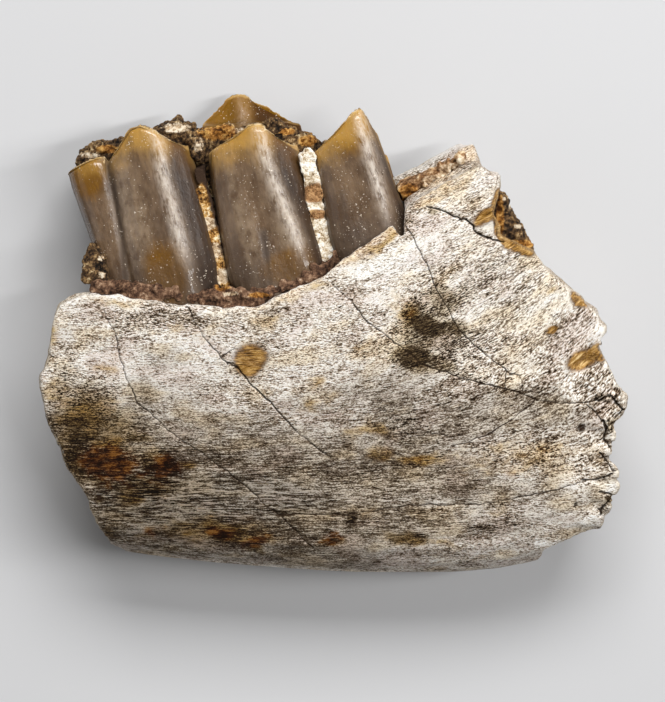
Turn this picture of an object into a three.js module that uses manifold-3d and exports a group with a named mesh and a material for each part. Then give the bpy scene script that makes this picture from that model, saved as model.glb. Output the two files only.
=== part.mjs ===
// Fossil oreodont jaw: a broken piece of a left lower jaw bone with the three-lobed rear molar
// standing in it. Millimetres, +Z up.
//
// It lies on its inner (tongue) side, as loose bone rests, with the cheek side up:
//   +X runs to the rear of the jaw, +Y runs up the tooth crowns, +Z comes out of the cheek face,
//   z = 0 is the surface it rests on and x = 0, y = 0 is the middle of the whole piece.

import * as THREE from 'three';
import { mergeVertices } from 'three/addons/utils/BufferGeometryUtils.js';
import Module from 'manifold-3d';

const manifold = await Module();
manifold.setup();

// ---------------------------------------------------------------- driving dimensions

const GAP = 0.2;                  // clearance between pieces that touch

const FACE_LEVEL = 11.95;         // height of the cheek face at y = 0, in front of x = 0
const FACE_RISE = 0.14;           // the cheek face climbs towards the tooth margin
const FACE_TURN = 3.0;            // y where it turns over and falls towards the ramus crest
const FACE_FALL = 0.27;           // change of slope past that turn
const FACE_THINNING = 0.045;      // the cheek face drops towards the thin ramus
const MASSETER = { depth: 0.5, at: [11, 1], spread: [5, 5] };    // muscle hollow on the cheek face
const INNER_CLEARANCE = 0.5;      // height of the inner face off the ground between its swellings
const INNER_SWELLING = 0.8;       // height of the three swellings that it rests on
const REAR_RISE = { height: 2.6, from: 9, to: 21 };      // the inner face lifts towards the ramus,
const SOCKET_RISE = { height: 1.2, from: -1, to: 6 };    // towards the teeth
const CREST_RISE = { height: 2.0, from: 7, to: 15 };     // and again towards the crest
const RESTS = [                   // the three swellings: place, and spread along x and y
  { at: [-14, -4], spread: [5, 5] },
  { at: [7, -3], spread: [5, 5] },
  { at: [-3, -13], spread: [5, 4] },
];

const SOCKET_DEPTH = 2.6;         // tooth socket below the bone margin
const SOCKET_LOW = 2.3;           // inner wall of the socket
const SOCKET_HIGH = 11.3;         // cheek wall of the socket
const SOCKET_FRONT = -17.6;
const SOCKET_REAR = 5.3;

// ---------------------------------------------------------------- outline of the bone

// Upper margin of the cheek plate, from the front corner to the root of the ramus.
const TOOTH_MARGIN = [
  [-21.2, 1.6], [-20.7, 3.0], [-19.0, 3.7], [-16.9, 3.9], [-13.1, 3.3], [-9.5, 2.9], [-6.0, 2.9],
  [-4.0, 3.7], [-1.0, 5.1], [1.0, 6.8], [3.0, 7.9], [4.9, 9.5],
];
const RAMUS_CREST = [
  [4.9, 9.5], [5.3, 10.2], [7.2, 11.5], [9.1, 12.5], [10.8, 13.5],
];
// Broken rear edge, corner by corner, from the crest down to the lower border.
const REAR_BREAK = [
  [10.8, 13.5], [11.8, 13.0], [12.3, 12.2], [12.3, 10.9], [12.0, 9.7], [12.6, 8.8], [12.5, 8.0],
  [15.1, 6.9], [15.7, 6.2], [16.2, 5.4], [17.6, 4.2], [18.7, 3.4], [19.9, 2.3], [20.4, 0.9],
  [20.0, -0.3], [21.1, -2.3], [22.3, -4.8], [22.2, -5.4], [21.5, -6.1], [21.0, -7.4], [21.2, -8.1],
  [21.0, -9.0], [21.6, -10.3], [21.3, -10.7], [21.7, -11.2], [21.5, -12.5], [20.8, -14.6],
  [20.1, -15.1], [18.8, -15.6], [16.6, -16.7], [16.3, -17.4],
];
// The smooth lower border: a long bow that turns up faster behind, rounded by `radius`, with its
// lowest line at `level` of the way up the jaw.
const BORDER = {
  front: -16.9, rear: 16.3, lowest: -18.8, lowestAt: 6.5,
  bow: 0.0033, rearBow: 0.017, rearBowFrom: 9, radius: 4.4, level: 0.46,
};
// Broken front edge, from the lower border up to the front corner.
const FRONT_BREAK = [
  [-16.9, -17.0], [-17.8, -15.0], [-18.1, -13.7], [-19.3, -11.0], [-20.7, -8.3], [-21.8, -5.7],
  [-22.2, -3.2], [-22.2, -2.4], [-21.8, -1.9], [-21.2, 1.6],
];

// Below the cheek plate each stretch of the edge leans to the inner plate's own edge, and a broken
// wall is ragged.
const EDGE = {
  margin: { lean: [0.0, -1.2], ragged: 0 },
  crest: { lean: [0.1, 1.7], ragged: 0 },
  rear: { lean: [-0.5, 0.3], ragged: 0.5 },
  border: { lean: [0.0, 0.0], ragged: 0 },
  front: { lean: [0.6, 0.2], ragged: 0.5 },
};
const WALL_HEIGHTS = [-1, 2.4, 5.7, 7.6, 9.6, 14];      // levels of the wall, inner to cheek
const CHEEK_PLATE_LOW = 9.6;      // the cheek plate's edge is upright from here up
const INNER_PLATE_HIGH = 5.7;     // the inner plate's edge is upright from here down
const JAW_HEART = new THREE.Vector2(0, -6);             // point well inside the outline
const JAW_SECTIONS = { front: -23.5, rear: 23.5, count: 26, top: 17, rows: 9 };

// The hollow behind the last tooth, between the cheek plate's crest and the inner plate's crest.
const TROUGH = { front: [3.4, 11.7, 7.6], rear: [13.6, 18.0, 7.6], radius: 2.2, flatness: 0.85 };

// The spongy core that shows at each broken end: an oval plug along the jaw, set in a little.
const CORES = {
  core_front: { at: [-18.2, -4.6, 6.2], length: 9, height: 12.4, thickness: 5.6, recess: 0.8 },
  core_rear: { at: [19.0, -6.4, 6.3], length: 8, height: 11.4, thickness: 3.6, recess: -0.9 },
};

// Thumbnail-shaped scars where chips have come off the rear edge of the cheek face.
const CHIPS = [
  { at: [19.2, -1.6], length: 3.2, width: 1.5, depth: 0.5, turn: 20 },
  { at: [18.4, 3.2], length: 1.5, width: 0.8, depth: 0.3, turn: -50 },
];

// ---------------------------------------------------------------- teeth and matrix

// A crown column: its axis runs from `foot` to `head`, `peak` is the crest's highest point across
// the width, `slopes` are the crest's falls before and behind it, and `basin` is how deep the
// worn top dips from the crest, which is on the cheek side unless `innerCrest` is set.
const CHEEK_COLUMNS = {
  tooth_lobe_front: {
    foot: [-11.5, 1.7, 8.7], head: [-14.6, 16.4, 7.5],
    width: [6.2, 5.8], depth: [5.0, 4.0], peak: -0.45, slopes: [0.79, 0.75], basin: 1.6,
  },
  tooth_lobe_middle: {
    foot: [-3.6, 2.0, 8.7], head: [-6.4, 16.3, 7.5],
    width: [6.5, 6.1], depth: [5.0, 4.0], peak: 0.57, slopes: [0.36, 0.99], basin: 1.6,
  },
  tooth_lobe_rear: {
    foot: [3.75, 5.0, 8.7], head: [0.45, 17.5, 7.5],
    width: [5.9, 4.7], depth: [4.8, 3.8], peak: 1.67, slopes: [0.5, 3.0], basin: 1.4,
  },
};
const FRONT_SHOULDER = {
  foot: [-15.4, 2.2, 8.4], head: [-18.6, 13.4, 7.2],
  width: [1.6, 3.4], depth: [3.4, 3.4], peak: 0.9, slopes: [0.12, 0.1], basin: 0.8,
};
const INNER_CUSPS = {
  tooth_inner_middle: {
    foot: [-4.2, 2.0, 3.9], head: [-6.8, 18.6, 3.2],
    width: [7.4, 7.6], depth: [2.6, 2.4], peak: -0.5, slopes: [0.8, 0.86], basin: 1.9, innerCrest: true,
  },
  tooth_inner_front: {
    foot: [-12.2, 1.8, 3.9], head: [-14.0, 14.9, 3.2],
    width: [7.4, 6.4], depth: [2.6, 2.2], peak: 0.6, slopes: [0.2, 0.25], basin: 0.5, innerCrest: true,
  },
  tooth_inner_rear: {
    foot: [3.0, 5.0, 3.9], head: [1.2, 14.3, 3.3],
    width: [6.0, 5.4], depth: [2.6, 2.2], peak: 0.4, slopes: [0.4, 0.6], basin: 0.6, innerCrest: true,
  },
};
const COLUMN_SIDES = 28;
const COLUMN_LEVELS = [0, 0.25, 0.5, 0.75, 0.9, 1];
const SPACE_SIDES = 12;           // the space cut for a column has fewer sides and levels
const SPACE_LEVELS = [0, 0.5, 1];
const COLUMN_SQUARENESS = 2.4;    // 2 is an ellipse, higher is squarer
const COLUMN_WAIST = 0.05;        // the crown is this much wider at mid-height

// Rock matrix left on the piece: each lump's outline, and its lowest and highest z. The valley
// lump fills the furrow between the cheek columns and the inner cusps.
const LUMPS = {
  matrix_valley: {
    outline: [
      [-19.4, 13.2], [-18.3, 14.4], [-17.0, 14.4], [-14.6, 14.9], [-12.6, 15.9], [-11.8, 16.3],
      [-10.9, 15.2], [-9.0, 15.5], [-7.0, 15.2], [-4.0, 15.4], [-2.0, 15.0], [-1.0, 14.2],
      [3.2, 13.0], [4.4, 8.2], [0.5, 6.4], [-3.5, 4.6], [-8.0, 3.9], [-16.4, 4.9],
    ],
    low: 3.0,
    high: 6.6,
  },
  matrix_front_post: {
    outline: [[-19.0, 4.4], [-18.7, 6.4], [-18.2, 7.6], [-17.4, 6.4], [-16.6, 4.4]],
    low: 7.4,
    high: 10.6,
  },
  matrix_rear_edge: {
    outline: [
      [12.6, 11.2], [13.1, 10.8], [13.6, 9.6], [14.7, 7.8], [15.3, 6.7], [14.0, 6.0], [11.4, 7.2],
      [11.6, 10.6],
    ],
    low: 4.6,
    high: 9.0,
  },
  matrix_trough: {
    outline: [[4.5, 8.8], [4.5, 11.4], [6.2, 12.2], [8.8, 13.4], [8.6, 11.0]],
    low: 4.0,
    high: 9.0,
  },
};

// Crusts of matrix left in the slots between the cheek columns, as centre lines from foot to top.
const STRIPS = {
  matrix_strip_front: { line: [[-8.4, 4.9], [-9.2, 8.6], [-10.1, 13.0]], width: 0.65, low: 7.0, high: 9.4 },
  matrix_strip_rear: { line: [[-0.1, 6.4], [-1.2, 9.2], [-2.1, 14.0]], width: 1.0, low: 7.0, high: 9.6 },
};
// ---------------------------------------------------------------- small tools

// A repeatable rough value in -1..1 for a pair of whole numbers.
function rough(i, j) {
  const turn = Math.sin(i * 127.1 + j * 311.7 + 9.2) * 43758.5453;
  return 2 * (turn - Math.floor(turn)) - 1;
}

// A smooth low mound: 1 at its place, fading with its spread.
function mound(x, y, { at, spread }) {
  const across = (x - at[0]) / spread[0];
  const along = (y - at[1]) / spread[1];
  return Math.exp(-0.5 * (across * across + along * along));
}

// A closed three.js geometry becomes a solid that can be joined and cut.
function toSolid(geometry) {
  const bare = geometry.clone();
  bare.deleteAttribute('normal');
  bare.deleteAttribute('uv');
  const merged = mergeVertices(bare, 1e-5);
  return new manifold.Manifold(new manifold.Mesh({
    numProp: 3,
    vertProperties: new Float32Array(merged.attributes.position.array),
    triVerts: new Uint32Array(merged.index.array),
  }));
}

// The largest single body of a solid: slivers that a cut leaves behind are dropped.
function largestBody(solid) {
  const bodies = solid.decompose();
  return bodies.reduce((best, body) => (body.volume() > best.volume() ? body : best));
}

function toGeometry(solid) {
  const mesh = largestBody(solid).getMesh();
  const geometry = new THREE.BufferGeometry();
  geometry.setAttribute('position', new THREE.BufferAttribute(new Float32Array(mesh.vertProperties), 3));
  geometry.setIndex(new THREE.BufferAttribute(new Uint32Array(mesh.triVerts), 1));
  return geometry;
}

// Rings of points, each with the same count, become one closed skin with a point at either end.
function skinRings(firstPole, rings, lastPole) {
  const sides = rings[0].length;
  const points = [firstPole, ...rings.flat(), lastPole];
  const last = points.length - 1;
  const index = [];
  const at = (ring, side) => 1 + ring * sides + (side % sides);
  for (let side = 0; side < sides; side += 1) {
    index.push(0, at(0, side + 1), at(0, side));
    index.push(last, at(rings.length - 1, side), at(rings.length - 1, side + 1));
    for (let ring = 0; ring < rings.length - 1; ring += 1) {
      index.push(at(ring, side), at(ring, side + 1), at(ring + 1, side + 1));
      index.push(at(ring, side), at(ring + 1, side + 1), at(ring + 1, side));
    }
  }
  const geometry = new THREE.BufferGeometry().setFromPoints(points);
  geometry.setIndex(index);
  return geometry;
}

// An upright slab with a given outline, bevelled a little, from one height to another.
// `grow` makes it larger all round.
function slab({ outline, low, high }, grow = 0) {
  const corners = outline.map(([x, y]) => new THREE.Vector2(x, y));
  if (THREE.ShapeUtils.isClockWise(corners)) {
    corners.reverse();
  }
  const count = corners.length;
  const grown = corners.map((corner, i) => {
    const before = corner.clone().sub(corners[(i + count - 1) % count]).normalize();
    const after = corners[(i + 1) % count].clone().sub(corner).normalize();
    const outward = new THREE.Vector2(before.y + after.y, -before.x - after.x).normalize();
    return corner.clone().addScaledVector(outward, grow);
  });
  const geometry = new THREE.ExtrudeGeometry(new THREE.Shape(grown), {
    depth: high - low + 2 * grow,
    bevelEnabled: false,
  });
  geometry.translate(0, 0, low - grow);
  return toSolid(geometry);
}

// ---------------------------------------------------------------- bone

function lowerBorder(x) {
  const past = Math.max(0, x - BORDER.rearBowFrom);
  return BORDER.lowest + BORDER.bow * (x - BORDER.lowestAt) ** 2 + BORDER.rearBow * past * past;
}

// 1 over the flat of the jaw, falling to 0 at the lower border along a quarter circle.
function borderRound(x, y) {
  const inside = THREE.MathUtils.clamp((y - lowerBorder(x)) / BORDER.radius, 0, 1);
  return Math.sqrt(1 - (1 - inside) ** 2);
}

// Height of the cheek face over a point of the outline's plane, before the border is rounded.
function cheekPlate(x, y) {
  const past = 2 * Math.log(1 + Math.exp((y - FACE_TURN) / 2));
  const hollow = MASSETER.depth * mound(x, y, MASSETER);
  const thinning = FACE_THINNING * Math.max(0, x);
  return FACE_LEVEL + FACE_RISE * y - FACE_FALL * past - thinning - hollow;
}

// The inner face stands just off the ground and rests on three low swellings, which end in
// flats at z = 0.
function innerPlate(x, y) {
  const rests = RESTS.reduce((sum, rest) => sum + mound(x, y, rest), 0);
  const rise = ({ height, from, to }, along) => height * THREE.MathUtils.smoothstep(along, from, to);
  const lift = rise(REAR_RISE, x) + rise(SOCKET_RISE, y) + rise(CREST_RISE, y);
  return Math.max(0, INNER_CLEARANCE - INNER_SWELLING * rests + lift);
}

// Both faces meet in the rounded lower border, a little below half way up.
function jawFace(x, y, plate) {
  const middle = THREE.MathUtils.lerp(innerPlate(x, y), cheekPlate(x, y), BORDER.level);
  return THREE.MathUtils.lerp(middle, plate(x, y), borderRound(x, y));
}

const cheekFace = (x, y) => jawFace(x, y, cheekPlate);
const innerFace = (x, y) => jawFace(x, y, innerPlate);

function smoothStretch(corners, steps) {
  const curve = new THREE.SplineCurve(corners.map(([x, y]) => new THREE.Vector2(x, y)));
  return curve.getPoints(steps).slice(0, -1);
}

// A broken stretch keeps its corners, and each long side gets a small step in the middle.
function brokenStretch(corners) {
  const points = [];
  for (let i = 0; i < corners.length - 1; i += 1) {
    const from = new THREE.Vector2(...corners[i]);
    const to = new THREE.Vector2(...corners[i + 1]);
    points.push(from);
    const run = to.clone().sub(from);
    if (run.length() > 1.7) {
      const sideways = new THREE.Vector2(-run.y, run.x).normalize();
      points.push(from.clone().addScaledVector(run, 0.5).addScaledVector(sideways, 0.14 * rough(i, 3)));
    }
  }
  return points;
}

// The jaw as it was before it broke: cross-sections from front to rear, each from the lower
// border up the cheek face and back down the inner face.
function wholeJaw() {
  const { front, rear, count, top, rows } = JAW_SECTIONS;
  const borderTurns = [24, 46, 68, 90].map(THREE.MathUtils.degToRad);
  const rings = [];
  for (let section = 0; section <= count; section += 1) {
    const x = THREE.MathUtils.lerp(front, rear, section / count);
    const border = lowerBorder(x);
    const flat = border + BORDER.radius;
    const heights = borderTurns.map((turn) => border + BORDER.radius * (1 - Math.cos(turn)));
    for (let row = 1; row <= rows; row += 1) {
      heights.push(THREE.MathUtils.lerp(flat, top, row / rows));
    }
    rings.push([
      new THREE.Vector3(x, border, cheekFace(x, border)),
      ...heights.map((y) => new THREE.Vector3(x, y, cheekFace(x, y))),
      ...heights.reverse().map((y) => new THREE.Vector3(x, y, innerFace(x, y))),
    ]);
  }
  const pole = (x) => new THREE.Vector3(x, 0, 6);
  return toSolid(skinRings(pole(front), rings, pole(rear)));
}

// The walls that the jaw is broken and worn back to, as one upright skin.
function outlineWalls() {
  const withEdge = (points, edge) => points.map((point) => ({ point, edge }));
  const belowBorder = (x) => new THREE.Vector2(x, lowerBorder(x) - 2);
  const outline = [
    ...withEdge(smoothStretch(TOOTH_MARGIN, 24), EDGE.margin),
    ...withEdge(smoothStretch(RAMUS_CREST, 6), EDGE.crest),
    ...withEdge(brokenStretch(REAR_BREAK), EDGE.rear),
    ...withEdge([belowBorder(BORDER.rear), belowBorder(BORDER.front)], EDGE.border),
    ...withEdge(brokenStretch(FRONT_BREAK), EDGE.front),
  ];
  const rings = WALL_HEIGHTS.map((height, ring) => outline.map(({ point, edge }, side) => {
    const below = (CHEEK_PLATE_LOW - height) / (CHEEK_PLATE_LOW - INNER_PLATE_HIGH);
    const inner = THREE.MathUtils.clamp(below, 0, 1);
    const x = point.x + edge.lean[0] * inner;
    const y = point.y + edge.lean[1] * inner;
    const inward = JAW_HEART.clone().sub(new THREE.Vector2(x, y)).normalize();
    const bite = inner > 0 ? edge.ragged * Math.abs(rough(side, ring)) : 0;
    return new THREE.Vector3(x + bite * inward.x, y + bite * inward.y, height);
  }));
  const pole = (height) => new THREE.Vector3(JAW_HEART.x, JAW_HEART.y, height);
  const last = WALL_HEIGHTS.length - 1;
  return toSolid(skinRings(pole(WALL_HEIGHTS[0]), rings, pole(WALL_HEIGHTS[last])));
}

// The long socket that the teeth stand in, open upwards along the margin.
function socket(grow = 0) {
  const margin = smoothStretch(TOOTH_MARGIN, 40).filter((p) => p.x > SOCKET_FRONT && p.x < SOCKET_REAR);
  const floor = margin.map((p) => [p.x, p.y - SOCKET_DEPTH]);
  const outline = [[SOCKET_FRONT, 20], ...floor, [SOCKET_REAR, 7.2], [SOCKET_REAR, 20]];
  return slab({ outline, low: SOCKET_LOW, high: SOCKET_HIGH }, grow);
}

function trough(grow = 0) {
  const front = new THREE.Vector3(...TROUGH.front);
  const rear = new THREE.Vector3(...TROUGH.rear);
  const capsule = new THREE.CapsuleGeometry(TROUGH.radius + grow, front.distanceTo(rear), 5, 14);
  const along = rear.clone().sub(front).normalize();
  const turn = new THREE.Quaternion().setFromUnitVectors(new THREE.Vector3(0, 1, 0), along);
  capsule.applyQuaternion(turn);
  capsule.scale(1, 1, TROUGH.flatness);
  capsule.translate(...front.clone().add(rear).multiplyScalar(0.5).toArray());
  return toSolid(capsule);
}

function chipScar({ at: [x, y], length, width, depth, turn }) {
  const scoop = new THREE.SphereGeometry(1, 14, 10);
  scoop.scale(length / 2, width / 2, 2 * depth);
  scoop.rotateZ(THREE.MathUtils.degToRad(turn));
  scoop.translate(x, y, cheekFace(x, y) + depth);
  return toSolid(scoop);
}

function corePlug({ at, length, height, thickness }, grow = 0) {
  const plug = new THREE.CylinderGeometry(1, 1, length + 2 * grow, 20);
  plug.rotateZ(Math.PI / 2);
  plug.scale(1, height / 2 + grow, thickness / 2 + grow);
  plug.translate(...at);
  return toSolid(plug);
}

// ---------------------------------------------------------------- teeth

function columnSkin(spec, sides, levels, grow = 0) {
  const foot = new THREE.Vector3(...spec.foot);
  const head = new THREE.Vector3(...spec.head);
  const axis = head.clone().sub(foot);
  const length = axis.length();
  axis.normalize();
  const across = new THREE.Vector3(axis.y, -axis.x, 0).normalize();
  const outward = new THREE.Vector3().crossVectors(across, axis);
  const power = 2 / COLUMN_SQUARENESS;
  const crestSide = spec.innerCrest ? -1 : 1;
  const section = (share) => {
    const belly = 1 + COLUMN_WAIST * Math.sin(Math.PI * share);
    return {
      halfWidth: THREE.MathUtils.lerp(spec.width[0], spec.width[1], share) * belly / 2 + grow,
      halfDepth: THREE.MathUtils.lerp(spec.depth[0], spec.depth[1], share) * belly / 2 + grow,
    };
  };
  const cheekFall = (sideways) => {
    const off = sideways - spec.peak;
    return off < 0 ? -off * spec.slopes[0] : off * spec.slopes[1];
  };
  // The crest's peak fades towards the back of the column, which is worn level.
  const crest = (sideways, depthShare) => {
    const worn = spec.basin + 0.5 * cheekFall(-spec.width[1] / 2);
    const fall = THREE.MathUtils.lerp(worn, cheekFall(sideways), (1 + depthShare) / 2);
    return length - fall + grow;
  };
  const place = (sideways, along, out) => foot.clone()
    .addScaledVector(across, sideways)
    .addScaledVector(axis, along)
    .addScaledVector(outward, out);
  const rings = levels.map((share) => {
    const ring = [];
    for (let side = 0; side < sides; side += 1) {
      const angle = (-2 * Math.PI * side) / sides;
      const cos = Math.sign(Math.cos(angle)) * Math.abs(Math.cos(angle)) ** power;
      const sin = Math.sign(Math.sin(angle)) * Math.abs(Math.sin(angle)) ** power;
      const { halfWidth, halfDepth } = section(share);
      const top = crest(halfWidth * cos, crestSide * sin);
      ring.push(place(halfWidth * cos, share * (top + grow) - grow, halfDepth * sin));
    }
    return ring;
  });
  const basinDip = crest(0, 0) - 0.35 * spec.basin;
  const inner = rings[rings.length - 1].map((point) => {
    const centre = place(0, basinDip, 0);
    return point.clone().lerp(centre, 0.45);
  });
  rings.push(inner);
  return skinRings(place(0, -grow, 0), rings, place(0, basinDip, 0));
}

const column = (spec) => toSolid(columnSkin(spec, COLUMN_SIDES, COLUMN_LEVELS));
const columnSpace = (spec) => toSolid(columnSkin(spec, SPACE_SIDES, SPACE_LEVELS, GAP));

// ---------------------------------------------------------------- matrix

// A crust along a centre line, roughly square in section, with an uneven outline.
function strip({ line, width, low, high }) {
  const curve = new THREE.SplineCurve(line.map(([x, y]) => new THREE.Vector2(x, y)));
  const steps = 9;
  const front = [];
  const back = [];
  for (let step = 0; step <= steps; step += 1) {
    const centre = curve.getPoint(step / steps);
    const side = curve.getTangent(step / steps).rotateAround(new THREE.Vector2(0, 0), Math.PI / 2);
    const half = width * (0.5 + 0.14 * rough(step, 5));
    front.push(centre.clone().addScaledVector(side, half).toArray());
    back.unshift(centre.clone().addScaledVector(side, -half).toArray());
  }
  return slab({ outline: [...front, ...back], low, high });
}

// The crust round the feet of the teeth: it fills the socket and stands a little over its edge.
function rim(grow = 0) {
  const inside = (p) => p.x > SOCKET_FRONT + GAP && p.x < SOCKET_REAR - GAP;
  const margin = smoothStretch(TOOTH_MARGIN, 40).filter(inside);
  const top = margin.map((p, i) => [p.x, p.y + 0.55 + 0.3 * rough(i, 7)]);
  const floor = margin.map((p) => [p.x, p.y - SOCKET_DEPTH + GAP]).reverse();
  return slab({ outline: [...top, ...floor], low: SOCKET_LOW + GAP, high: SOCKET_HIGH - GAP }, grow);
}

// ---------------------------------------------------------------- assembly

const FINISH = {
  bone: { color: 0xb9ae9d, roughness: 0.8 },
  enamel: { color: 0x6e5a45, roughness: 0.35 },
  innerEnamel: { color: 0x86683c, roughness: 0.4 },
  darkMatrix: { color: 0x5a3b29, roughness: 0.95 },
  paleMatrix: { color: 0xd8c9a0, roughness: 0.9 },
  goldMatrix: { color: 0xb5894a, roughness: 0.85 },
};

const jaw = new THREE.Group();

function addPiece(name, solid, finish) {
  const material = new THREE.MeshStandardMaterial({ ...FINISH[finish], metalness: 0 });
  const mesh = new THREE.Mesh(toGeometry(solid), material);
  mesh.name = name;
  jaw.add(mesh);
}

const TEETH = { ...CHEEK_COLUMNS, tooth_shoulder: FRONT_SHOULDER, ...INNER_CUSPS };
const grownTeeth = Object.values(TEETH).map(columnSpace);

const cutByAll = (solid, cutters) => cutters.reduce((left, cutter) => left.subtract(cutter), solid);

const brokenJaw = wholeJaw().intersect(outlineWalls());
const bone = cutByAll(brokenJaw, [
  socket(),
  trough(),
  slab(LUMPS.matrix_rear_edge, GAP),
  corePlug(CORES.core_front, GAP),
  corePlug(CORES.core_rear, GAP),
  ...grownTeeth,
  ...CHIPS.map(chipScar),
]);
addPiece('jaw_bone', bone, 'bone');

// Each column makes room for the ones before it, where they press together.
Object.entries(TEETH).forEach(([name, spec], order) => {
  const finish = name in INNER_CUSPS ? 'innerEnamel' : 'enamel';
  addPiece(name, cutByAll(column(spec), grownTeeth.slice(0, order)), finish);
});

// The matrix gives way to the teeth, and the rest of it to the crust round their feet.
const grownRim = rim(GAP);
const aboveRim = (solid) => cutByAll(solid, [...grownTeeth, grownRim]);
addPiece('matrix_rim', cutByAll(rim(), grownTeeth), 'darkMatrix');
addPiece('matrix_valley', aboveRim(slab(LUMPS.matrix_valley)), 'darkMatrix');
addPiece('matrix_front_post', aboveRim(slab(LUMPS.matrix_front_post)), 'paleMatrix');
addPiece('matrix_strip_front', aboveRim(strip(STRIPS.matrix_strip_front)), 'goldMatrix');
addPiece('matrix_strip_rear', aboveRim(strip(STRIPS.matrix_strip_rear)), 'paleMatrix');
addPiece('matrix_rear_edge', slab(LUMPS.matrix_rear_edge), 'darkMatrix');
addPiece('matrix_trough', aboveRim(trough(-GAP).intersect(slab(LUMPS.matrix_trough))), 'darkMatrix');

for (const [name, spec] of Object.entries(CORES)) {
  const core = corePlug(spec).intersect(brokenJaw.translate([spec.recess, 0, 0]));
  addPiece(name, cutByAll(core, [...grownTeeth, socket(GAP)]), 'darkMatrix');
}

// The origin is under the middle of the whole piece, on the surface that it rests on.
const extent = new THREE.Box3().setFromObject(jaw);
const middle = extent.getCenter(new THREE.Vector3());
jaw.position.set(-middle.x, -middle.y, -extent.min.z);

export default jaw;
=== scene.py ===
import itertools
import math

import bpy
import numpy as np
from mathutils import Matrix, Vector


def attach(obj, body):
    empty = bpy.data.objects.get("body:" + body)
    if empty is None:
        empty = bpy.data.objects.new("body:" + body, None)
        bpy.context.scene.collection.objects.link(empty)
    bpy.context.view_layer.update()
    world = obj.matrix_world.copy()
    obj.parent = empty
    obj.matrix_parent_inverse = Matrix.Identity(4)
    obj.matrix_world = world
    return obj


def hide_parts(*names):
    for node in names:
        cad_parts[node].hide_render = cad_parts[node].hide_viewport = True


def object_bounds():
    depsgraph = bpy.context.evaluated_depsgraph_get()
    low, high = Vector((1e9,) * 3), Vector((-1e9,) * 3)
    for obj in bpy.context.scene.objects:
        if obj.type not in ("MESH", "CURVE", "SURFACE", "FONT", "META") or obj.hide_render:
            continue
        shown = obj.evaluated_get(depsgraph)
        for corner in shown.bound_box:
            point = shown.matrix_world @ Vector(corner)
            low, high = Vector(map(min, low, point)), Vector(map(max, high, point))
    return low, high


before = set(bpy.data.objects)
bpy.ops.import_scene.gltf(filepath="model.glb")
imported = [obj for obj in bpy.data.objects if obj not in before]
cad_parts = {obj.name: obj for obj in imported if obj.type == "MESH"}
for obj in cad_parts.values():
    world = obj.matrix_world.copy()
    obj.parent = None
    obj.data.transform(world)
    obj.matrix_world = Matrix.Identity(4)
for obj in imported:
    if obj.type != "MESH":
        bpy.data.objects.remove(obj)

cad_low, cad_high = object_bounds()

# ---------------------------------------------------------------- jaw bone
# The dentary: a thick-walled jaw bone, fossilised cream and fibrous, that broke across in front
# and behind. Iron and manganese have stained its cheek face in patches, and hair cracks cross it.
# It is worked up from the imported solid: a fine even skin, roughened breaks and engraved cracks.

MM = 0.001
BONE_VOXEL = 0.24            # mm
CRACK_MARGIN = 0.16          # mm of finer skin on either side of a crack
WELD_REACH = 0.002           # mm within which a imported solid's corners are one
CAD_LOW = np.array(cad_low) / MM
CAD_HIGH = np.array(cad_high) / MM

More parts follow.
